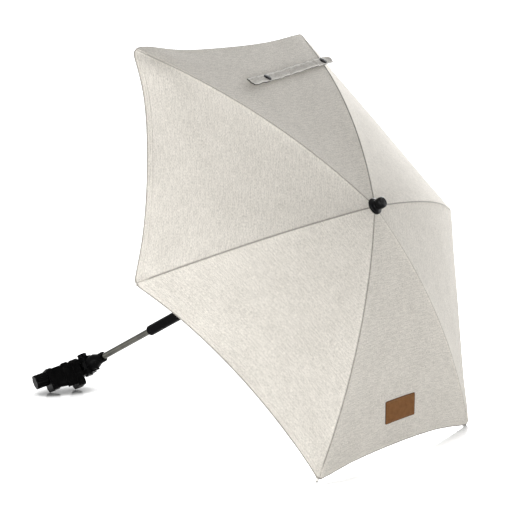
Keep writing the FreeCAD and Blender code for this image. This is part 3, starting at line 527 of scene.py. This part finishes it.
def cloth_lift(rib, panel, along, off_hem, off_rib, off_middle, point, welted):
    """How far the sewn cloth stands over its smooth shape: seam, hem, rib end and slight wrinkles."""
    off_tip = (1 - along) * panel_length
    wide = CORNER_WIDE[rib]
    pocket = CORNER_SLOPE[rib] * (wide + off_rib - math.hypot(off_rib, wide)) * bell(off_rib, CORNER_BREADTH)
    groove = SEAM_GROOVE * bell(off_rib, SEAM_GROOVE_WIDTH) * step_up(off_tip, SEAM_GROOVE_END, TIP_BARREL)
    seam = SEAM_RIDGE * bell(off_rib, SEAM_RIDGE_WIDTH) - groove
    seam += BARREL_RISE * bell(off_rib, BARREL_SPREAD) * step_up(off_tip, BARREL_START, BARREL_END)
    seam += BALL_RISE * bell(off_rib, BALL_SPREAD) * bell(off_tip, BALL_LENGTH)
    seam += pocket * step_up(off_tip, CORNER_SOFT[rib], CORNER_SOFT_END)
    if welted:
        inside = math.cos(math.pi * min(0.5, abs(off_rib / WELT_WIDTH - 0.5)))
        seam += WELT_HEIGHT * math.sqrt(inside) * step_up(off_tip, WELT_START, WELT_END)
    hem = hem_fold(off_hem) - HEM_FOLD * STITCH_DIP * bell(off_hem - HEM_STITCH, STITCH_DIP_WIDTH)
    ruck = scaled_noise(HEM_RUCK_SCALE, off_middle, along, panel)
    hem += HEM_RUCK * ruck * bell(off_hem - HEM_STITCH, HEM_RUCK_WIDTH)
    ruck = scaled_noise(SEAM_RUCK_SCALE, along, off_rib, panel)
    seam += SEAM_RUCK * ruck * bell(off_rib - SEAM_STITCH, SEAM_RUCK_WIDTH)
    broad = noise.noise(point * WRINKLE_SCALE) + FINE_WRINKLE * noise.noise(point * FINE_WRINKLE_SCALE)
    calm = step_up(along, *CALM_CAP) * step_up(off_rib, *CALM_RIB)
    return seam + hem + WRINKLE * broad * calm


def thread_run(vertices, faces, line, outward):
    """Adds a row of stitches along a line of points, each a short thread that dips in at both ends."""
    travelled = [0.0]
    for start, end in zip(line, line[1:]):
        travelled.append(travelled[-1] + (end - start).length)

    def at(distance):
        index = 0
        while index < len(line) - 2 and travelled[index + 1] < distance:
            index += 1
        share = (distance - travelled[index]) / (travelled[index + 1] - travelled[index])
        return line[index].lerp(line[index + 1], share), outward[index]

    for count in range(int(travelled[-1] / STITCH_PITCH)):
        start = count * STITCH_PITCH
        rings = []
        for share, height in STITCH_FORM:
            point, out = at(start + share * STITCH_LENGTH)
            ahead = at(start + STITCH_LENGTH)[0] - at(start)[0]
            across = ahead.cross(out).normalized()
            ring = []
            for corner in range(THREAD_SIDES):
                turn = corner * math.tau / THREAD_SIDES
                offset = across * math.cos(turn) + out * (math.sin(turn) + height)
                ring.append(len(vertices))
                vertices.append(point + offset * THREAD_RADIUS)
            rings.append(ring)
        for first, second in zip(rings, rings[1:]):
            for corner in range(THREAD_SIDES):
                after = (corner + 1) % THREAD_SIDES
                faces.append((first[corner], first[after], second[after], second[corner]))
        faces.append(tuple(reversed(rings[0])))
        faces.append(tuple(rings[-1]))


def skin_faces(rows, columns):
    """Faces of a thin closed sheet: a grid of points on top, the same grid under it, and a rim all round."""
    count = rows * columns
    faces = []
    for row in range(rows - 1):
        for column in range(columns - 1):
            first = row * columns + column
            quad = (first, first + 1, first + columns + 1, first + columns)
            faces.append(quad)
            faces.append(tuple(corner + count for corner in reversed(quad)))
    rim = [row * columns for row in range(rows)]
    rim += [(rows - 1) * columns + column for column in range(1, columns)]
    rim += [row * columns + columns - 1 for row in range(rows - 2, -1, -1)]
    rim += list(range(columns - 2, 0, -1))
    for here, after in zip(rim, rim[1:] + rim[:1]):
        faces.append((here, here + count, after + count, after))
    return faces


def sewn_piece(name, tops, unders, columns, places, edges, seams, finishes):
    """A closed sheet with its stitches: places in metres of cloth, edges in metres from two of its edges."""
    vertices = tops + unders
    faces = skin_faces(len(tops) // columns, columns)
    cloth_faces = len(faces)
    for line, outward in seams:
        thread_run(vertices, faces, line, outward)
    mesh = bpy.data.meshes.new(name)
    mesh.from_pydata(vertices, [], faces)
    mesh.polygons.foreach_set("material_index", [0] * cloth_faces + [1] * (len(faces) - cloth_faces))
    for map_name, values in (("Weave", places), ("Edges", edges)):
        laid_map = mesh.uv_layers.new(name=map_name)
        on_vertices = values + values + [OFF_EDGES] * (len(vertices) - 2 * len(tops))
        for loop in mesh.loops:
            laid_map.uv[loop.index].vector = on_vertices[loop.vertex_index]
    shape = bmesh.new()
    shape.from_mesh(mesh)
    bmesh.ops.recalc_face_normals(shape, faces=shape.faces)
    shape.to_mesh(mesh)
    shape.free()
    return new_piece(name, mesh, finishes)


def half_panel(rib, side, finishes):
    """The cloth on one side of a rib, to mid panel, with its hem, its half of the seam and its stitches."""
    panel = rib if side > 0 else (rib - 1) % RIB_COUNT
    plain_rows = math.ceil((panel_length - HEM_ROWS[0]) / ROW_STEP)
    alongs = [row / plain_rows * (1 - HEM_ROWS[0] / panel_length) for row in range(plain_rows)]
    alongs += [1 - distance / panel_length for distance in HEM_ROWS]
    columns = len(SEAM_COLUMNS) + COLUMNS
    tops, unders, places, edges = [], [], [], []
    for along in alongs:
        width = half_width(along)
        off_hem = (1 - along) * panel_length
        pull = step_up(off_hem, HEM_ROWS[0] + CORNER_ROWS, HEM_ROWS[0])
        edge_roll = (CLOTH_THICK / 2 + HEM_FOLD) * bell(off_hem, EDGE_ROLL_WIDTH) * EDGE_ROLL
        for column in range(columns):
            if column < len(SEAM_COLUMNS):
                off_rib = min(SEAM_COLUMNS[column], width * column / columns)
                last_seam = off_rib
            else:
                share = (column + 1 - len(SEAM_COLUMNS)) / COLUMNS
                off_rib = last_seam + (width - last_seam) * share
            across = off_rib / width
            ease = HEM_EASE[panel] * (1 - (1 - across) ** 2)
            reached = along + pull * (hem_shift(rib, off_rib) + ease) / panel_length
            normal = on_rib(rib, side, cloth_normal(reached, across))
            point = laid(rib, side, cloth_point(reached, across))
            lift = cloth_lift(rib, panel, reached, off_hem, off_rib, width - off_rib, point,
                              side == WELT_SIDES[rib])
            under = lift - CLOTH_THICK - 2 * hem_fold(off_hem) + edge_roll
            for points, height in ((tops, lift - edge_roll), (unders, under)):
                set_down = point + normal * height
                set_down.z = max(set_down.z, FLOOR_CLEAR)
                points.append(set_down)
            places.append((side * (off_rib - width), reached * panel_length))
            # Distances off the seam and off the hem's edge, for the painted shade along them
            off_seam = off_rib + SEAM_SHADE_FADE * step_up(off_hem, SEAM_SHADE_START, SEAM_SHADE_END)
            edges.append((off_seam, max(0.0, off_hem - HEM_SHADE_FULL)))
    rows = len(alongs)
    hem_row = alongs.index(1 - HEM_STITCH / panel_length)
    hem_line = [tops[hem_row * columns + column] for column in range(len(SEAM_COLUMNS), columns)]
    hem_out = [on_rib(rib, side, cloth_normal(alongs[hem_row], 0.5))] * len(hem_line)
    seam_column = SEAM_COLUMNS.index(SEAM_STITCH)
    sewn_rows = range(SEAM_STITCH_ENDS, rows - SEAM_STITCH_ENDS)
    seam_line = [tops[row * columns + seam_column] for row in sewn_rows]
    seam_out = [on_rib(rib, side, cloth_normal(alongs[row], BESIDE_RIB)) for row in sewn_rows]
    name = "canopy_cloth_" + str(rib + 1) + ("_right" if side > 0 else "_left")
    return sewn_piece(name, tops, unders, columns, places, edges,
                      [(hem_line, hem_out), (seam_line, seam_out)], finishes)


# Woven melange: long light and dark weft threads, short warp threads and a plain weave, in metres of cloth
woven_melange, given, gives = new_group(
    "Woven melange",
    {"Cloth": ("Vector", (0, 0, 0)), "Light": ("Color", CLOTH_LIGHT), "Dark": ("Color", CLOTH_DARK),
     "Thread": ("Float", WEAVE_PITCH)},
    {"Color": "Color", "Roughness": "Float", "Height": "Float"},
)
weft = node(woven_melange, "Mapping", {"Vector": given["Cloth"], "Scale": WEFT_SCALE}).outputs[0]
slub = node(woven_melange, "Mapping", {"Vector": given["Cloth"], "Scale": SLUB_SCALE}).outputs[0]
warp = node(woven_melange, "Mapping", {"Vector": given["Cloth"], "Scale": WARP_SCALE}).outputs[0]
weft_tone = spread(woven_melange, speckle(woven_melange, weft, 1.0, detail=1.0), 0.0, 1.0, *WEFT_SPAN)
slub_tone = speckle(woven_melange, slub, 1.0, detail=1.0)
slub_tone = spread(woven_melange, slub_tone, 0.0, SLUB_SHARE, NOISE_LOW, NOISE_HIGH)
warp_tone = speckle(woven_melange, warp, 1.0)
broad_tone = speckle(woven_melange, given["Cloth"], BROAD_SCALE, detail=3.0)
broad_tone = spread(woven_melange, broad_tone, 0.0, BROAD_SHARE, NOISE_LOW, NOISE_HIGH)
warp_part = spread(woven_melange, warp_tone, 0.0, WARP_SHARE)
threads = node(woven_melange, "Math", [weft_tone, WEFT_SHARE, warp_part], operation="MULTIPLY_ADD").outputs[0]
shade = spread(woven_melange, threads, 0.0, 1.0, *THREADS_SPAN)
shade = node(woven_melange, "Math", [shade, THREADS_SHARE, slub_tone], operation="MULTIPLY_ADD").outputs[0]
shade = node(woven_melange, "Math", [shade, broad_tone], operation="ADD").outputs[0]
woven_melange.links.new(tinted(woven_melange, shade, given["Dark"], given["Light"]), gives["Color"])
woven_melange.links.new(spread(woven_melange, warp_tone, *CLOTH_ROUGHNESS), gives["Roughness"])
counted = node(woven_melange, "VectorMath", {0: given["Cloth"], "Scale": 1.0}, operation="SCALE")
turns = node(woven_melange, "Math", [math.tau, given["Thread"]], operation="DIVIDE").outputs[0]
woven_melange.links.new(turns, counted.inputs["Scale"])
split = node(woven_melange, "SeparateXYZ", [counted.outputs[0]]).outputs
waves = [node(woven_melange, "Math", [split[axis]], operation="SINE").outputs[0] for axis in (0, 1)]
over_under = node(woven_melange, "Math", waves, operation="MULTIPLY").outputs[0]
relief = node(woven_melange, "Math", [over_under, WEAVE_RELIEF, threads], operation="MULTIPLY_ADD").outputs[0]
woven_melange.links.new(relief, gives["Height"])


# Edge tone: a colour along a seam or a cut edge, from metres off two edges; painted shade and painted
# highlight on cloth, the burnished edge on leather
edge_tone_and_painted_light, given, gives = new_group(
    "Edge tone and painted light",
    {"Edges": ("Vector", (0, 0, 0)), "Color": ("Color", CLOTH_LIGHT), "Edge color": ("Color", CLOTH_SEAM_SHADE),
     "Width": ("Float", 0.001), "Strength": ("Float", 0.5)},
    {"Color": "Color"},
)
off_edges = node(edge_tone_and_painted_light, "SeparateXYZ", [given["Edges"]]).outputs
nearest = node(edge_tone_and_painted_light, "Math", [off_edges[0], off_edges[1]], operation="MINIMUM").outputs[0]
at_edge = node(edge_tone_and_painted_light, "MapRange", [nearest, 0.0, given["Width"], given["Strength"], 0.0]).outputs[0]
edge_tone_and_painted_light.links.new(tinted(edge_tone_and_painted_light, at_edge, given["Color"], given["Edge color"]), gives["Color"])


def laid_maps(tree):
    """The two maps of a sewn piece in its finish: metres of cloth, and metres off its edges."""
    return [node(tree, "UVMap", uv_map=name).outputs[0] for name in ("Weave", "Edges")]


def woven_finish(name, light, dark, sewn, bump, depth):
    """Melange cloth of two tones; each of sewn is a colour along its edges, with its values, as painted shade
    and painted highlight.
    """
    finish, tree, shader = new_finish(name, IOR=1.45, Specular_IOR_Level=0.2, Sheen_Weight=0.12,
                                      Sheen_Roughness=0.5)
    cloth_place, edge_place = laid_maps(tree)
    woven = placed(tree, woven_melange, Cloth=cloth_place, Light=light, Dark=dark, Thread=WEAVE_PITCH)
    tone = woven["Color"]
    for values in sewn:
        tone = placed(tree, edge_tone_and_painted_light, Edges=edge_place, Color=tone, **values)["Color"]
    wire_up(tree, shader, bump, depth, Base_Color=tone, Roughness=woven["Roughness"], Height=woven["Height"])
    return finish


def thread_finish(name, first, second):
    """A twisted sewing thread of two tones."""
    finish, tree, shader = new_finish(name, IOR=1.45, Sheen_Weight=0.2)
    twist = speckle(tree, node(tree, "TexCoord").outputs["Object"], THREAD_TWIST)
    wire_up(tree, shader, strength=0.3, distance=0.0001, Base_Color=tinted(tree, twist, first, second),
            Roughness=spread(tree, twist, low=0.6, high=0.85), Height=twist)
    return finish


# Painted shade: a dark line along each seam and the hem's edge, where the groove and the folded hem lie in
# shade
canopy_painted_shade = [{"Edge_color": CLOTH_SEAM_SHADE, "Width": 0.0016, "Strength": 0.9}]
canopy_cloth = woven_finish("canopy_melange", CLOTH_LIGHT, CLOTH_DARK, canopy_painted_shade, bump=0.35, depth=0.0004)
sewing_thread = thread_finish("sewing_thread", THREAD, CLOTH_LIGHT)

for rib in range(RIB_COUNT):
    for side in (-1, 1):
        cloth = half_panel(rib, side, [canopy_cloth, sewing_thread])
        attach(cloth, "rib_body_" + numbers[rib])
        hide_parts("canopy_panel_" + numbers[rib])
        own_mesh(cloth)


# Cap
# A turned-looking black plastic cap, screwed on the pole's end. Its flange presses the cloth down round the
# hole, and above a narrow waist it ends in a rounded knob.
CAP_GAP = 0.0005
CAP_SEGMENTS = 64
CAP_FLANGE = ((0.0090, 0.0), (0.0106, 0.0), (0.0111, 0.0004), (0.01125, 0.0012), (0.0111, 0.0024),
              (0.0106, 0.0031), (0.0098, 0.0036), (0.0086, 0.0040))
CAP_WAIST = ((0.0070, 0.0043), (0.0064, 0.0048), (0.0062, 0.0056), (0.0064, 0.0064), (0.0071, 0.0070))
CAP_KNOB = ((0.0074, 0.0076), (0.0075, 0.0090), (0.0075, 0.0138), (0.0073, 0.0152), (0.0068, 0.0162),
            (0.0060, 0.0168), (0.0052, 0.0170))
CAP_HOLLOW = ((0.0047, 0.0168), (0.0044, 0.0165), (0.0030, 0.0166), (0.0012, 0.0167))
CAP_PROFILE = CAP_FLANGE + CAP_WAIST + CAP_KNOB + CAP_HOLLOW


def turned(name, profile, segments, origin, axis, across, finish):
    """A closed round piece from its (radius, height) profile about an axis."""
    third = axis.cross(across)
    vertices, faces = [], []
    for radius, height in profile:
        for segment in range(segments):
            turn = segment * math.tau / segments
            ray = across * math.cos(turn) + third * math.sin(turn)
            vertices.append(origin + ray * radius + axis * height)
    for row in range(len(profile) - 1):
        for segment in range(segments):
            after = (segment + 1) % segments
            first, second = row * segments, (row + 1) * segments
            faces.append((first + segment, first + after, second + after, second + segment))
    faces.append(tuple(range(len(vertices) - segments, len(vertices))))
    faces.append(tuple(reversed(range(segments))))
    mesh = bpy.data.meshes.new(name)
    mesh.from_pydata(vertices, [], faces)
    return new_piece(name, mesh, [finish])


apex = hub + up_pole * HINGE_DROP
cap_seat = apex + up_pole * CAP_GAP
cap = turned("cap_turning", CAP_PROFILE, CAP_SEGMENTS, cap_seat, up_pole, to_floor, gloss_black)
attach(cap, "upper_pole")
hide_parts("top_cap")


# Rib ends
# Small pale ferrules with a ball end, moulded in plastic and pushed on the ribs. A corner of the cloth is
# sewn over the barrel of each, so that only the end of the ball can show.
FERRULE = (0.66, 0.64, 0.60, 1)
ferrule = moulded_finish("pale_ferrule", FERRULE, grain=1200.0, smooth=0.3, rough=0.45, scuffs=0.2, bump=0.05,
                         IOR=1.47)
coat(["rib_tip_" + number for number in numbers], ferrule)


# Closing strap
# A doubled strip of the canopy's cloth, stitched along its edges and held on one rib by a black snap. The
# loose end lies over the next panel, with a second snap that closes it round the folded canopy.
STRAP_RIB = 3
STRAP_ALONG = 0.775
STRAP_PROBE = 0.01
STRAP_HEADING = math.radians(98)
STRAP_LENGTH = 0.212
STRAP_HALF = 0.007
STRAP_TAIL = 0.023
STRAP_LOW = 0.0020
STRAP_THICK = 0.0012
STRAP_FOLD = 0.040
STRAP_FOLD_STEP = 0.0012
STRAP_FOLD_RISE = 0.0005
STRAP_EDGE_STITCH = 0.0018
STRAP_EDGE_THIN = 0.34
STRAP_EDGE_WIDTH = 0.0006
STRAP_STITCH_THIN = 0.22
STRAP_STEP = 0.0016
STRAP_HALF_COLUMNS = (0.12, 0.35, 0.55, 0.68, 0.743, 0.80, 0.88, 0.95, 0.985, 1.0)
STRAP_STITCH_COLUMN = 0.743
STRAP_TAIL_START = 0.0008
STRAP_SLACK = (0.004, 0.022)
STRAP_WAVE = 0.0007
STRAP_WAVES = 42
STRAP_END_RISE = 0.0010
STRAP_END_START = 0.15
QUILT = 0.0010
QUILT_OVER = 0.0007
QUILT_SCALE = (95, 75, 130, 4.7)
FINE_QUILT = 0.5
FINE_QUILT_SCALE = (210, -160, 200, 9.1)
FIRST_STITCH_ROW = 5
END_STITCH_ROW = 2
LOOSE_SNAP = 0.147
STRAP_LIGHT = (0.64, 0.61, 0.563, 1)
STRAP_DARK = (0.37, 0.353, 0.324, 1)
# Painted highlight along the strap's edges and end, and a painted shadow at its outermost edge
STRAP_PAINTED_HIGHLIGHT = (0.93, 0.91, 0.86, 1)
STRAP_PAINTED_SHADOW = (0.06, 0.058, 0.052, 1)
SNAP_BLACK = (0.0025, 0.0025, 0.0026, 1)
SNAP_SEGMENTS = 40
SNAP_PROFILE = (
    (0.0052, -0.0003), (0.0056, 0.0), (0.0056, 0.0005), (0.0054, 0.0009), (0.0048, 0.0011), (0.0043, 0.0010),
    (0.0039, 0.0011), (0.0033, 0.00135), (0.0022, 0.00152), (0.0011, 0.00159), (0.0003, 0.0016),
)

strap_out = cloth_normal(STRAP_ALONG, 1)
hem_way = cloth_point(STRAP_ALONG + STRAP_PROBE, 1) - cloth_point(STRAP_ALONG, 1)
hem_way = (hem_way - strap_out * hem_way.dot(strap_out)).normalized()
strap_way = hem_way * math.cos(STRAP_HEADING) + strap_out.cross(hem_way) * math.sin(STRAP_HEADING)
strap_side = strap_out.cross(strap_way)
strap_root = cloth_point(STRAP_ALONG, 0)


def on_strap(reach, off_middle, height):
    """Place on the strap: reach from its rib, off its middle line, and height over the cloth at the rib."""
    return laid(STRAP_RIB, 1, strap_root + strap_way * reach + strap_side * off_middle + strap_out * height)


def quilted(scale, reach, off_middle):
    """Noise over the strap that runs aslant, as a doubled strip puckers."""
    aslant = reach * scale[0] + off_middle * scale[1]
    return noise.noise(Vector((aslant, off_middle * scale[2], scale[3])))


strap_columns = [-share for share in reversed(STRAP_HALF_COLUMNS)] + list(STRAP_HALF_COLUMNS)
columns = len(strap_columns)
strap_end = STRAP_LENGTH - STRAP_TAIL
fold_start = strap_end - STRAP_FOLD
rows = round(STRAP_LENGTH / STRAP_STEP)
tops, unders, places, edges = [], [], [], []
for row in range(rows + 1):
    reach = -STRAP_TAIL + STRAP_LENGTH * row / rows
    tail = min(STRAP_HALF, reach + STRAP_TAIL + STRAP_TAIL_START)
    half = math.sqrt(STRAP_HALF ** 2 - (STRAP_HALF - tail) ** 2)
    off_snaps = min(abs(reach), abs(reach - LOOSE_SNAP))
    slack = step_up(off_snaps, *STRAP_SLACK)
    for share in strap_columns:
        off_middle = share * half
        off_edge = half - abs(off_middle)
        off_end = strap_end - reach
        thin = STRAP_EDGE_THIN * bell(off_edge, STRAP_EDGE_WIDTH)
        thin += STRAP_STITCH_THIN * bell(off_edge - STRAP_EDGE_STITCH, STITCH_DIP_WIDTH)
        puff = STRAP_THICK * (0.5 - thin)
        puff += STRAP_FOLD_RISE * step_up(reach, fold_start, fold_start + STRAP_FOLD_STEP)
        quilt = quilted(QUILT_SCALE, reach, off_middle)
        quilt += FINE_QUILT * quilted(FINE_QUILT_SCALE, reach, off_middle)
        bend = STRAP_WAVE * math.sin(reach * STRAP_WAVES) * slack
        bend += STRAP_END_RISE * step_up(reach, STRAP_END_START, strap_end)
        middle = STRAP_LOW + STRAP_THICK / 2 + bend + QUILT * quilt * slack
        tops.append(on_strap(reach, off_middle, middle + puff + QUILT_OVER * quilt * slack))
        unders.append(on_strap(reach, off_middle, middle - puff))
        places.append((reach, off_middle))
        edges.append((off_edge, off_end))
strap_up = on_rib(STRAP_RIB, 1, strap_out)
stitched = strap_columns.index(-STRAP_STITCH_COLUMN)
strap_seams = []
for column in (stitched, columns - 1 - stitched):
    line = [tops[row * columns + column] for row in range(FIRST_STITCH_ROW, rows - 1)]
    strap_seams.append((line, [strap_up] * len(line)))
for back in (END_STITCH_ROW, round(STRAP_FOLD / STRAP_STEP) - END_STITCH_ROW):
    line = [tops[(rows - back) * columns + column] for column in range(stitched, columns - stitched)]
    strap_seams.append((line, [strap_up] * len(line)))

# A light band painted along the strap's edges and end as a highlight, with its outermost edge painted dark as
# the shadow below it
strap_painted_light = [{"Edge_color": STRAP_PAINTED_HIGHLIGHT, "Width": 0.0034, "Strength": 1.0},
               {"Edge_color": STRAP_PAINTED_SHADOW, "Width": 0.0007, "Strength": 1.0}]
strap_cloth = woven_finish("strap_melange", STRAP_LIGHT, STRAP_DARK, strap_painted_light, bump=0.45, depth=0.0004)
strap = sewn_piece("closing_strap", tops, unders, columns, places, edges, strap_seams,
                   [strap_cloth, sewing_thread])
strap_body = "rib_body_" + numbers[STRAP_RIB]
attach(strap, strap_body)
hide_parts("tie_strap")
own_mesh(strap)
snap_black = moulded_finish("snap_black", SNAP_BLACK, grain=2400.0, smooth=0.3, rough=0.45, scuffs=0.2,
                            bump=0.10, IOR=1.5, Specular_IOR_Level=0.03)
snaps = []
for name, reach in (("held_snap", 0.0), ("loose_snap", LOOSE_SNAP)):
    seat = on_strap(reach, 0, STRAP_LOW + STRAP_THICK)
    along_strap = on_rib(STRAP_RIB, 1, strap_way)
    snap = turned(name, SNAP_PROFILE, SNAP_SEGMENTS, seat, strap_up, along_strap, snap_black)
    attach(snap, strap_body)
    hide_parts("strap_snaps")
    snaps.append(snap)
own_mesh(snaps[1])


# Label patch
# A bare patch of smooth tan leather, cut with rounded corners and burnished along its edges. It is sewn by
# its edge over the middle of the lowest panel.
LABEL_RIB = 1
LABEL_ALONG = 0.85
LABEL_WIDTH = 0.066
LABEL_LENGTH = 0.037
LABEL_THICK = 0.0011
LABEL_LIFT = 0.0001
LABEL_CORNER = 0.0022
LABEL_EDGE_THIN = 0.0004
LABEL_EDGE_WIDTH = 0.0004
LABEL_STITCH = 0.0025
LABEL_STITCH_DIP = 0.00022
LABEL_BORDER = (0.0, 0.0001, 0.0003, 0.0006, 0.0010, 0.0016, 0.0025, 0.0034)
LABEL_STEP = 0.0024
LEATHER = (0.215, 0.096, 0.033, 1)
LEATHER_DARK = (0.157, 0.068, 0.022, 1)
LEATHER_EDGE = (0.075, 0.040, 0.022, 1)
LEATHER_PORES = 1700.0
LEATHER_BLOTCHES = 120.0
LEATHER_ROUGHNESS = (0.45, 0.62)


def bordered(length):
    """Places along a length, close together at both its ends."""
    inner = length / 2 - LABEL_BORDER[-1]
    count = round(2 * inner / LABEL_STEP)
    ends = [length / 2 - border for border in LABEL_BORDER]
    between = [inner * (2 * index / count - 1) for index in range(1, count)]
    return [-end for end in ends] + between + ends[::-1]


tops, unders, places, edges = [], [], [], []
label_rows = bordered(LABEL_LENGTH)
label_columns = bordered(LABEL_WIDTH)
for off_line in label_rows:
    off_end = LABEL_LENGTH / 2 - abs(off_line)
    inset = LABEL_CORNER - min(off_end, LABEL_CORNER)
    narrowed = LABEL_CORNER - math.sqrt(LABEL_CORNER ** 2 - inset ** 2)
    for column in label_columns:
        off_middle = column * (1 - 2 * narrowed / LABEL_WIDTH)
        off_side = LABEL_WIDTH / 2 - narrowed - abs(off_middle)
        rib, side = (LABEL_RIB, -1) if off_middle > 0 else (LABEL_RIB - 1, 1)
        along = LABEL_ALONG + off_line / panel_length
        width = half_width(along)
        across = 1 - abs(off_middle) / width
        point = laid(rib, side, cloth_point(along, across))
        normal = on_rib(rib, side, cloth_normal(along, across))
        off_hem = (1 - along) * panel_length
        cloth_top = cloth_lift(rib, LABEL_RIB - 1, along, off_hem, across * width, abs(off_middle), point,
                               False)
        off_edge = min(off_end, off_side)
        crown = LABEL_THICK - LABEL_EDGE_THIN * bell(off_edge, LABEL_EDGE_WIDTH)
        crown -= LABEL_STITCH_DIP * bell(off_edge - LABEL_STITCH, STITCH_DIP_WIDTH)
        tops.append(point + normal * (cloth_top + LABEL_LIFT + crown))
        unders.append(point + normal * (cloth_top + LABEL_LIFT))
        places.append((off_middle, off_line))
        edges.append((off_side, off_end))
columns = len(label_columns)
label_up = on_rib(LABEL_RIB, -1, cloth_normal(LABEL_ALONG, 1))
stitched = LABEL_BORDER.index(LABEL_STITCH)
last_row = len(label_rows) - 1 - stitched
label_seams = []
for row in (stitched, last_row):
    line = [tops[row * columns + column] for column in range(stitched, columns - stitched)]
    label_seams.append((line, [label_up] * len(line)))
for column in (stitched, columns - 1 - stitched):
    line = [tops[row * columns + column] for row in range(stitched, last_row + 1)]
    label_seams.append((line, [label_up] * len(line)))

tan_leather, tree, shader = new_finish("tan_leather", IOR=1.45, Specular_IOR_Level=0.06)
leather_place, edge_place = laid_maps(tree)
pored = {"Vector": leather_place, "Scale": LEATHER_PORES}
pores = node(tree, "TexVoronoi", pored, feature="F1").outputs["Distance"]
blotches = speckle(tree, leather_place, LEATHER_BLOTCHES, detail=4.0, roughness=0.6)
hide = tinted(tree, spread(tree, blotches, 0.0, 1.0, NOISE_LOW, NOISE_HIGH), LEATHER, LEATHER_DARK)
edged = placed(tree, edge_tone_and_painted_light, Edges=edge_place, Color=hide, Edge_color=LEATHER_EDGE, Width=0.0016,
               Strength=0.8)
wire_up(tree, shader, strength=0.25, distance=0.0003, Base_Color=edged["Color"],
        Roughness=spread(tree, blotches, *LEATHER_ROUGHNESS), Height=pores)
tan_thread = thread_finish("tan_thread", LEATHER_DARK, LEATHER)
label = sewn_piece("label_leather_patch", tops, unders, columns, places, edges, label_seams,
                   [tan_leather, tan_thread])
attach(label, "rib_body_" + numbers[LABEL_RIB])
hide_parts("label_patch")
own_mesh(label)


# Studio
# A plain white floor that shows the object's shade and a faint mirror image, with a painted contact shade
# where its white glow dims near the object; four soft boxes in front and at the sides, and a weak even fill
# all round.
# The camera is fitted to the photograph.
FLOOR_SIZE = 30.0
PHOTO_WIDTH = 505
FOCAL_PIXELS = 2020.0
SENSOR = 36.0
CAMERA_AZIMUTH = math.radians(37.08)
CAMERA_ELEVATION = math.radians(10.14)
CAMERA_DISTANCE = 2.67106
CENTRE_PIXEL = (308.4, 243.1)
CLIP_END = 100
FLOOR_WHITE = (0.82, 0.82, 0.82, 1)
FLOOR_SHADED = (0.35, 0.35, 0.35, 1)
FLOOR_ROUGHNESS = 0.11
WHITE = (1, 1, 1, 1)
BOX_DISTANCE = 2.4
BOX_SIZE = 1.6
SOFT_BOXES = {
    "front_box": ((0.60, -0.75, 0.02), 55),
    "right_box": ((0.40, 0.90, 0.05), 22),
    "left_edge_box": ((-0.25, -0.95, 0.10), 69),
    "right_edge_box": ((-0.30, 0.85, 0.35), 80),
}
FILL = 0.20
GLOW = 1.0
SHADE_REACH = 0.07
SHADE_FROM = 0.52
SHADE_TO = 0.87
rim_centre = hub - up_pole * (CANOPY_RISE - HINGE_DROP)


def seen_or_mirrored(tree):
    """1 for rays from the camera and for those that come off a glossy or through a clear surface."""
    path = node(tree, "LightPath").outputs
    mirrored = node(tree, "Math", [path["Is Glossy Ray"], path["Is Transmission Ray"]], operation="MAXIMUM")
    return node(tree, "Math", [path["Is Camera Ray"], mirrored.outputs[0]], operation="MAXIMUM").outputs[0]


mesh = bpy.data.meshes.new("floor")
half = FLOOR_SIZE / 2
floor_corners = [(-half, -half, 0), (half, -half, 0), (half, half, 0), (-half, half, 0)]
mesh.from_pydata(floor_corners, [], [(0, 1, 2, 3)])
floor = bpy.data.objects.new("floor", mesh)
bpy.context.scene.collection.objects.link(floor)
white_floor, tree, shader = new_finish("white_floor", Roughness=FLOOR_ROUGHNESS, Base_Color=FLOOR_WHITE)
# Painted contact shade: the white glow of the floor is dimmed where ambient occlusion finds the object near
open_sky = node(tree, "AmbientOcclusion", {"Distance": SHADE_REACH}, samples=8).outputs["AO"]
glow_with_painted_shade = spread(tree, open_sky, 0.0, GLOW, SHADE_FROM, SHADE_TO)
glow = node(tree, "Emission", {"Color": WHITE, "Strength": glow_with_painted_shade}).outputs[0]
shaded = node(tree, "BsdfPrincipled", {"Base Color": FLOOR_SHADED, "Roughness": FLOOR_ROUGHNESS}).outputs[0]
both = node(tree, "AddShader", [shaded, glow]).outputs[0]
shown = node(tree, "MixShader", [seen_or_mirrored(tree), shader.outputs[0], both]).outputs[0]
tree.links.new(shown, tree.nodes["Material Output"].inputs["Surface"])
mesh.materials.append(white_floor)

world = bpy.data.worlds.new("white_surround")
world.use_nodes = True
bpy.context.scene.world = world
tree = world.node_tree
surround = spread(tree, seen_or_mirrored(tree), FILL, GLOW)
tree.links.new(surround, tree.nodes["Background"].inputs["Strength"])
tree.nodes["Background"].inputs["Color"].default_value = WHITE


def face_canopy(made, way, distance):
    """Sets a lamp or the camera off the middle of the canopy's rim, turned to face it."""
    made.location = rim_centre + way * distance
    made.rotation_euler = way.to_track_quat("Z", "Y").to_euler()
    bpy.context.scene.collection.objects.link(made)


for name, (direction, power) in SOFT_BOXES.items():
    lamp = bpy.data.lights.new(name, "AREA")
    lamp.energy = power
    lamp.size = BOX_SIZE
    face_canopy(bpy.data.objects.new(name, lamp), Vector(direction).normalized(), BOX_DISTANCE)

way = Vector((math.sin(CAMERA_AZIMUTH) * math.cos(CAMERA_ELEVATION),
              -math.cos(CAMERA_AZIMUTH) * math.cos(CAMERA_ELEVATION), math.sin(CAMERA_ELEVATION)))
lens = bpy.data.cameras.new("camera")
lens.sensor_width = SENSOR
lens.lens = SENSOR * FOCAL_PIXELS / PHOTO_WIDTH
lens.shift_x = (PHOTO_WIDTH / 2 - CENTRE_PIXEL[0]) / PHOTO_WIDTH
lens.shift_y = (CENTRE_PIXEL[1] - PHOTO_WIDTH / 2) / PHOTO_WIDTH
lens.clip_end = CLIP_END
camera = bpy.data.objects.new("camera", lens)
face_canopy(camera, way, CAMERA_DISTANCE)
bpy.context.scene.camera = camera
bpy.context.scene.view_settings.view_transform = "Standard"
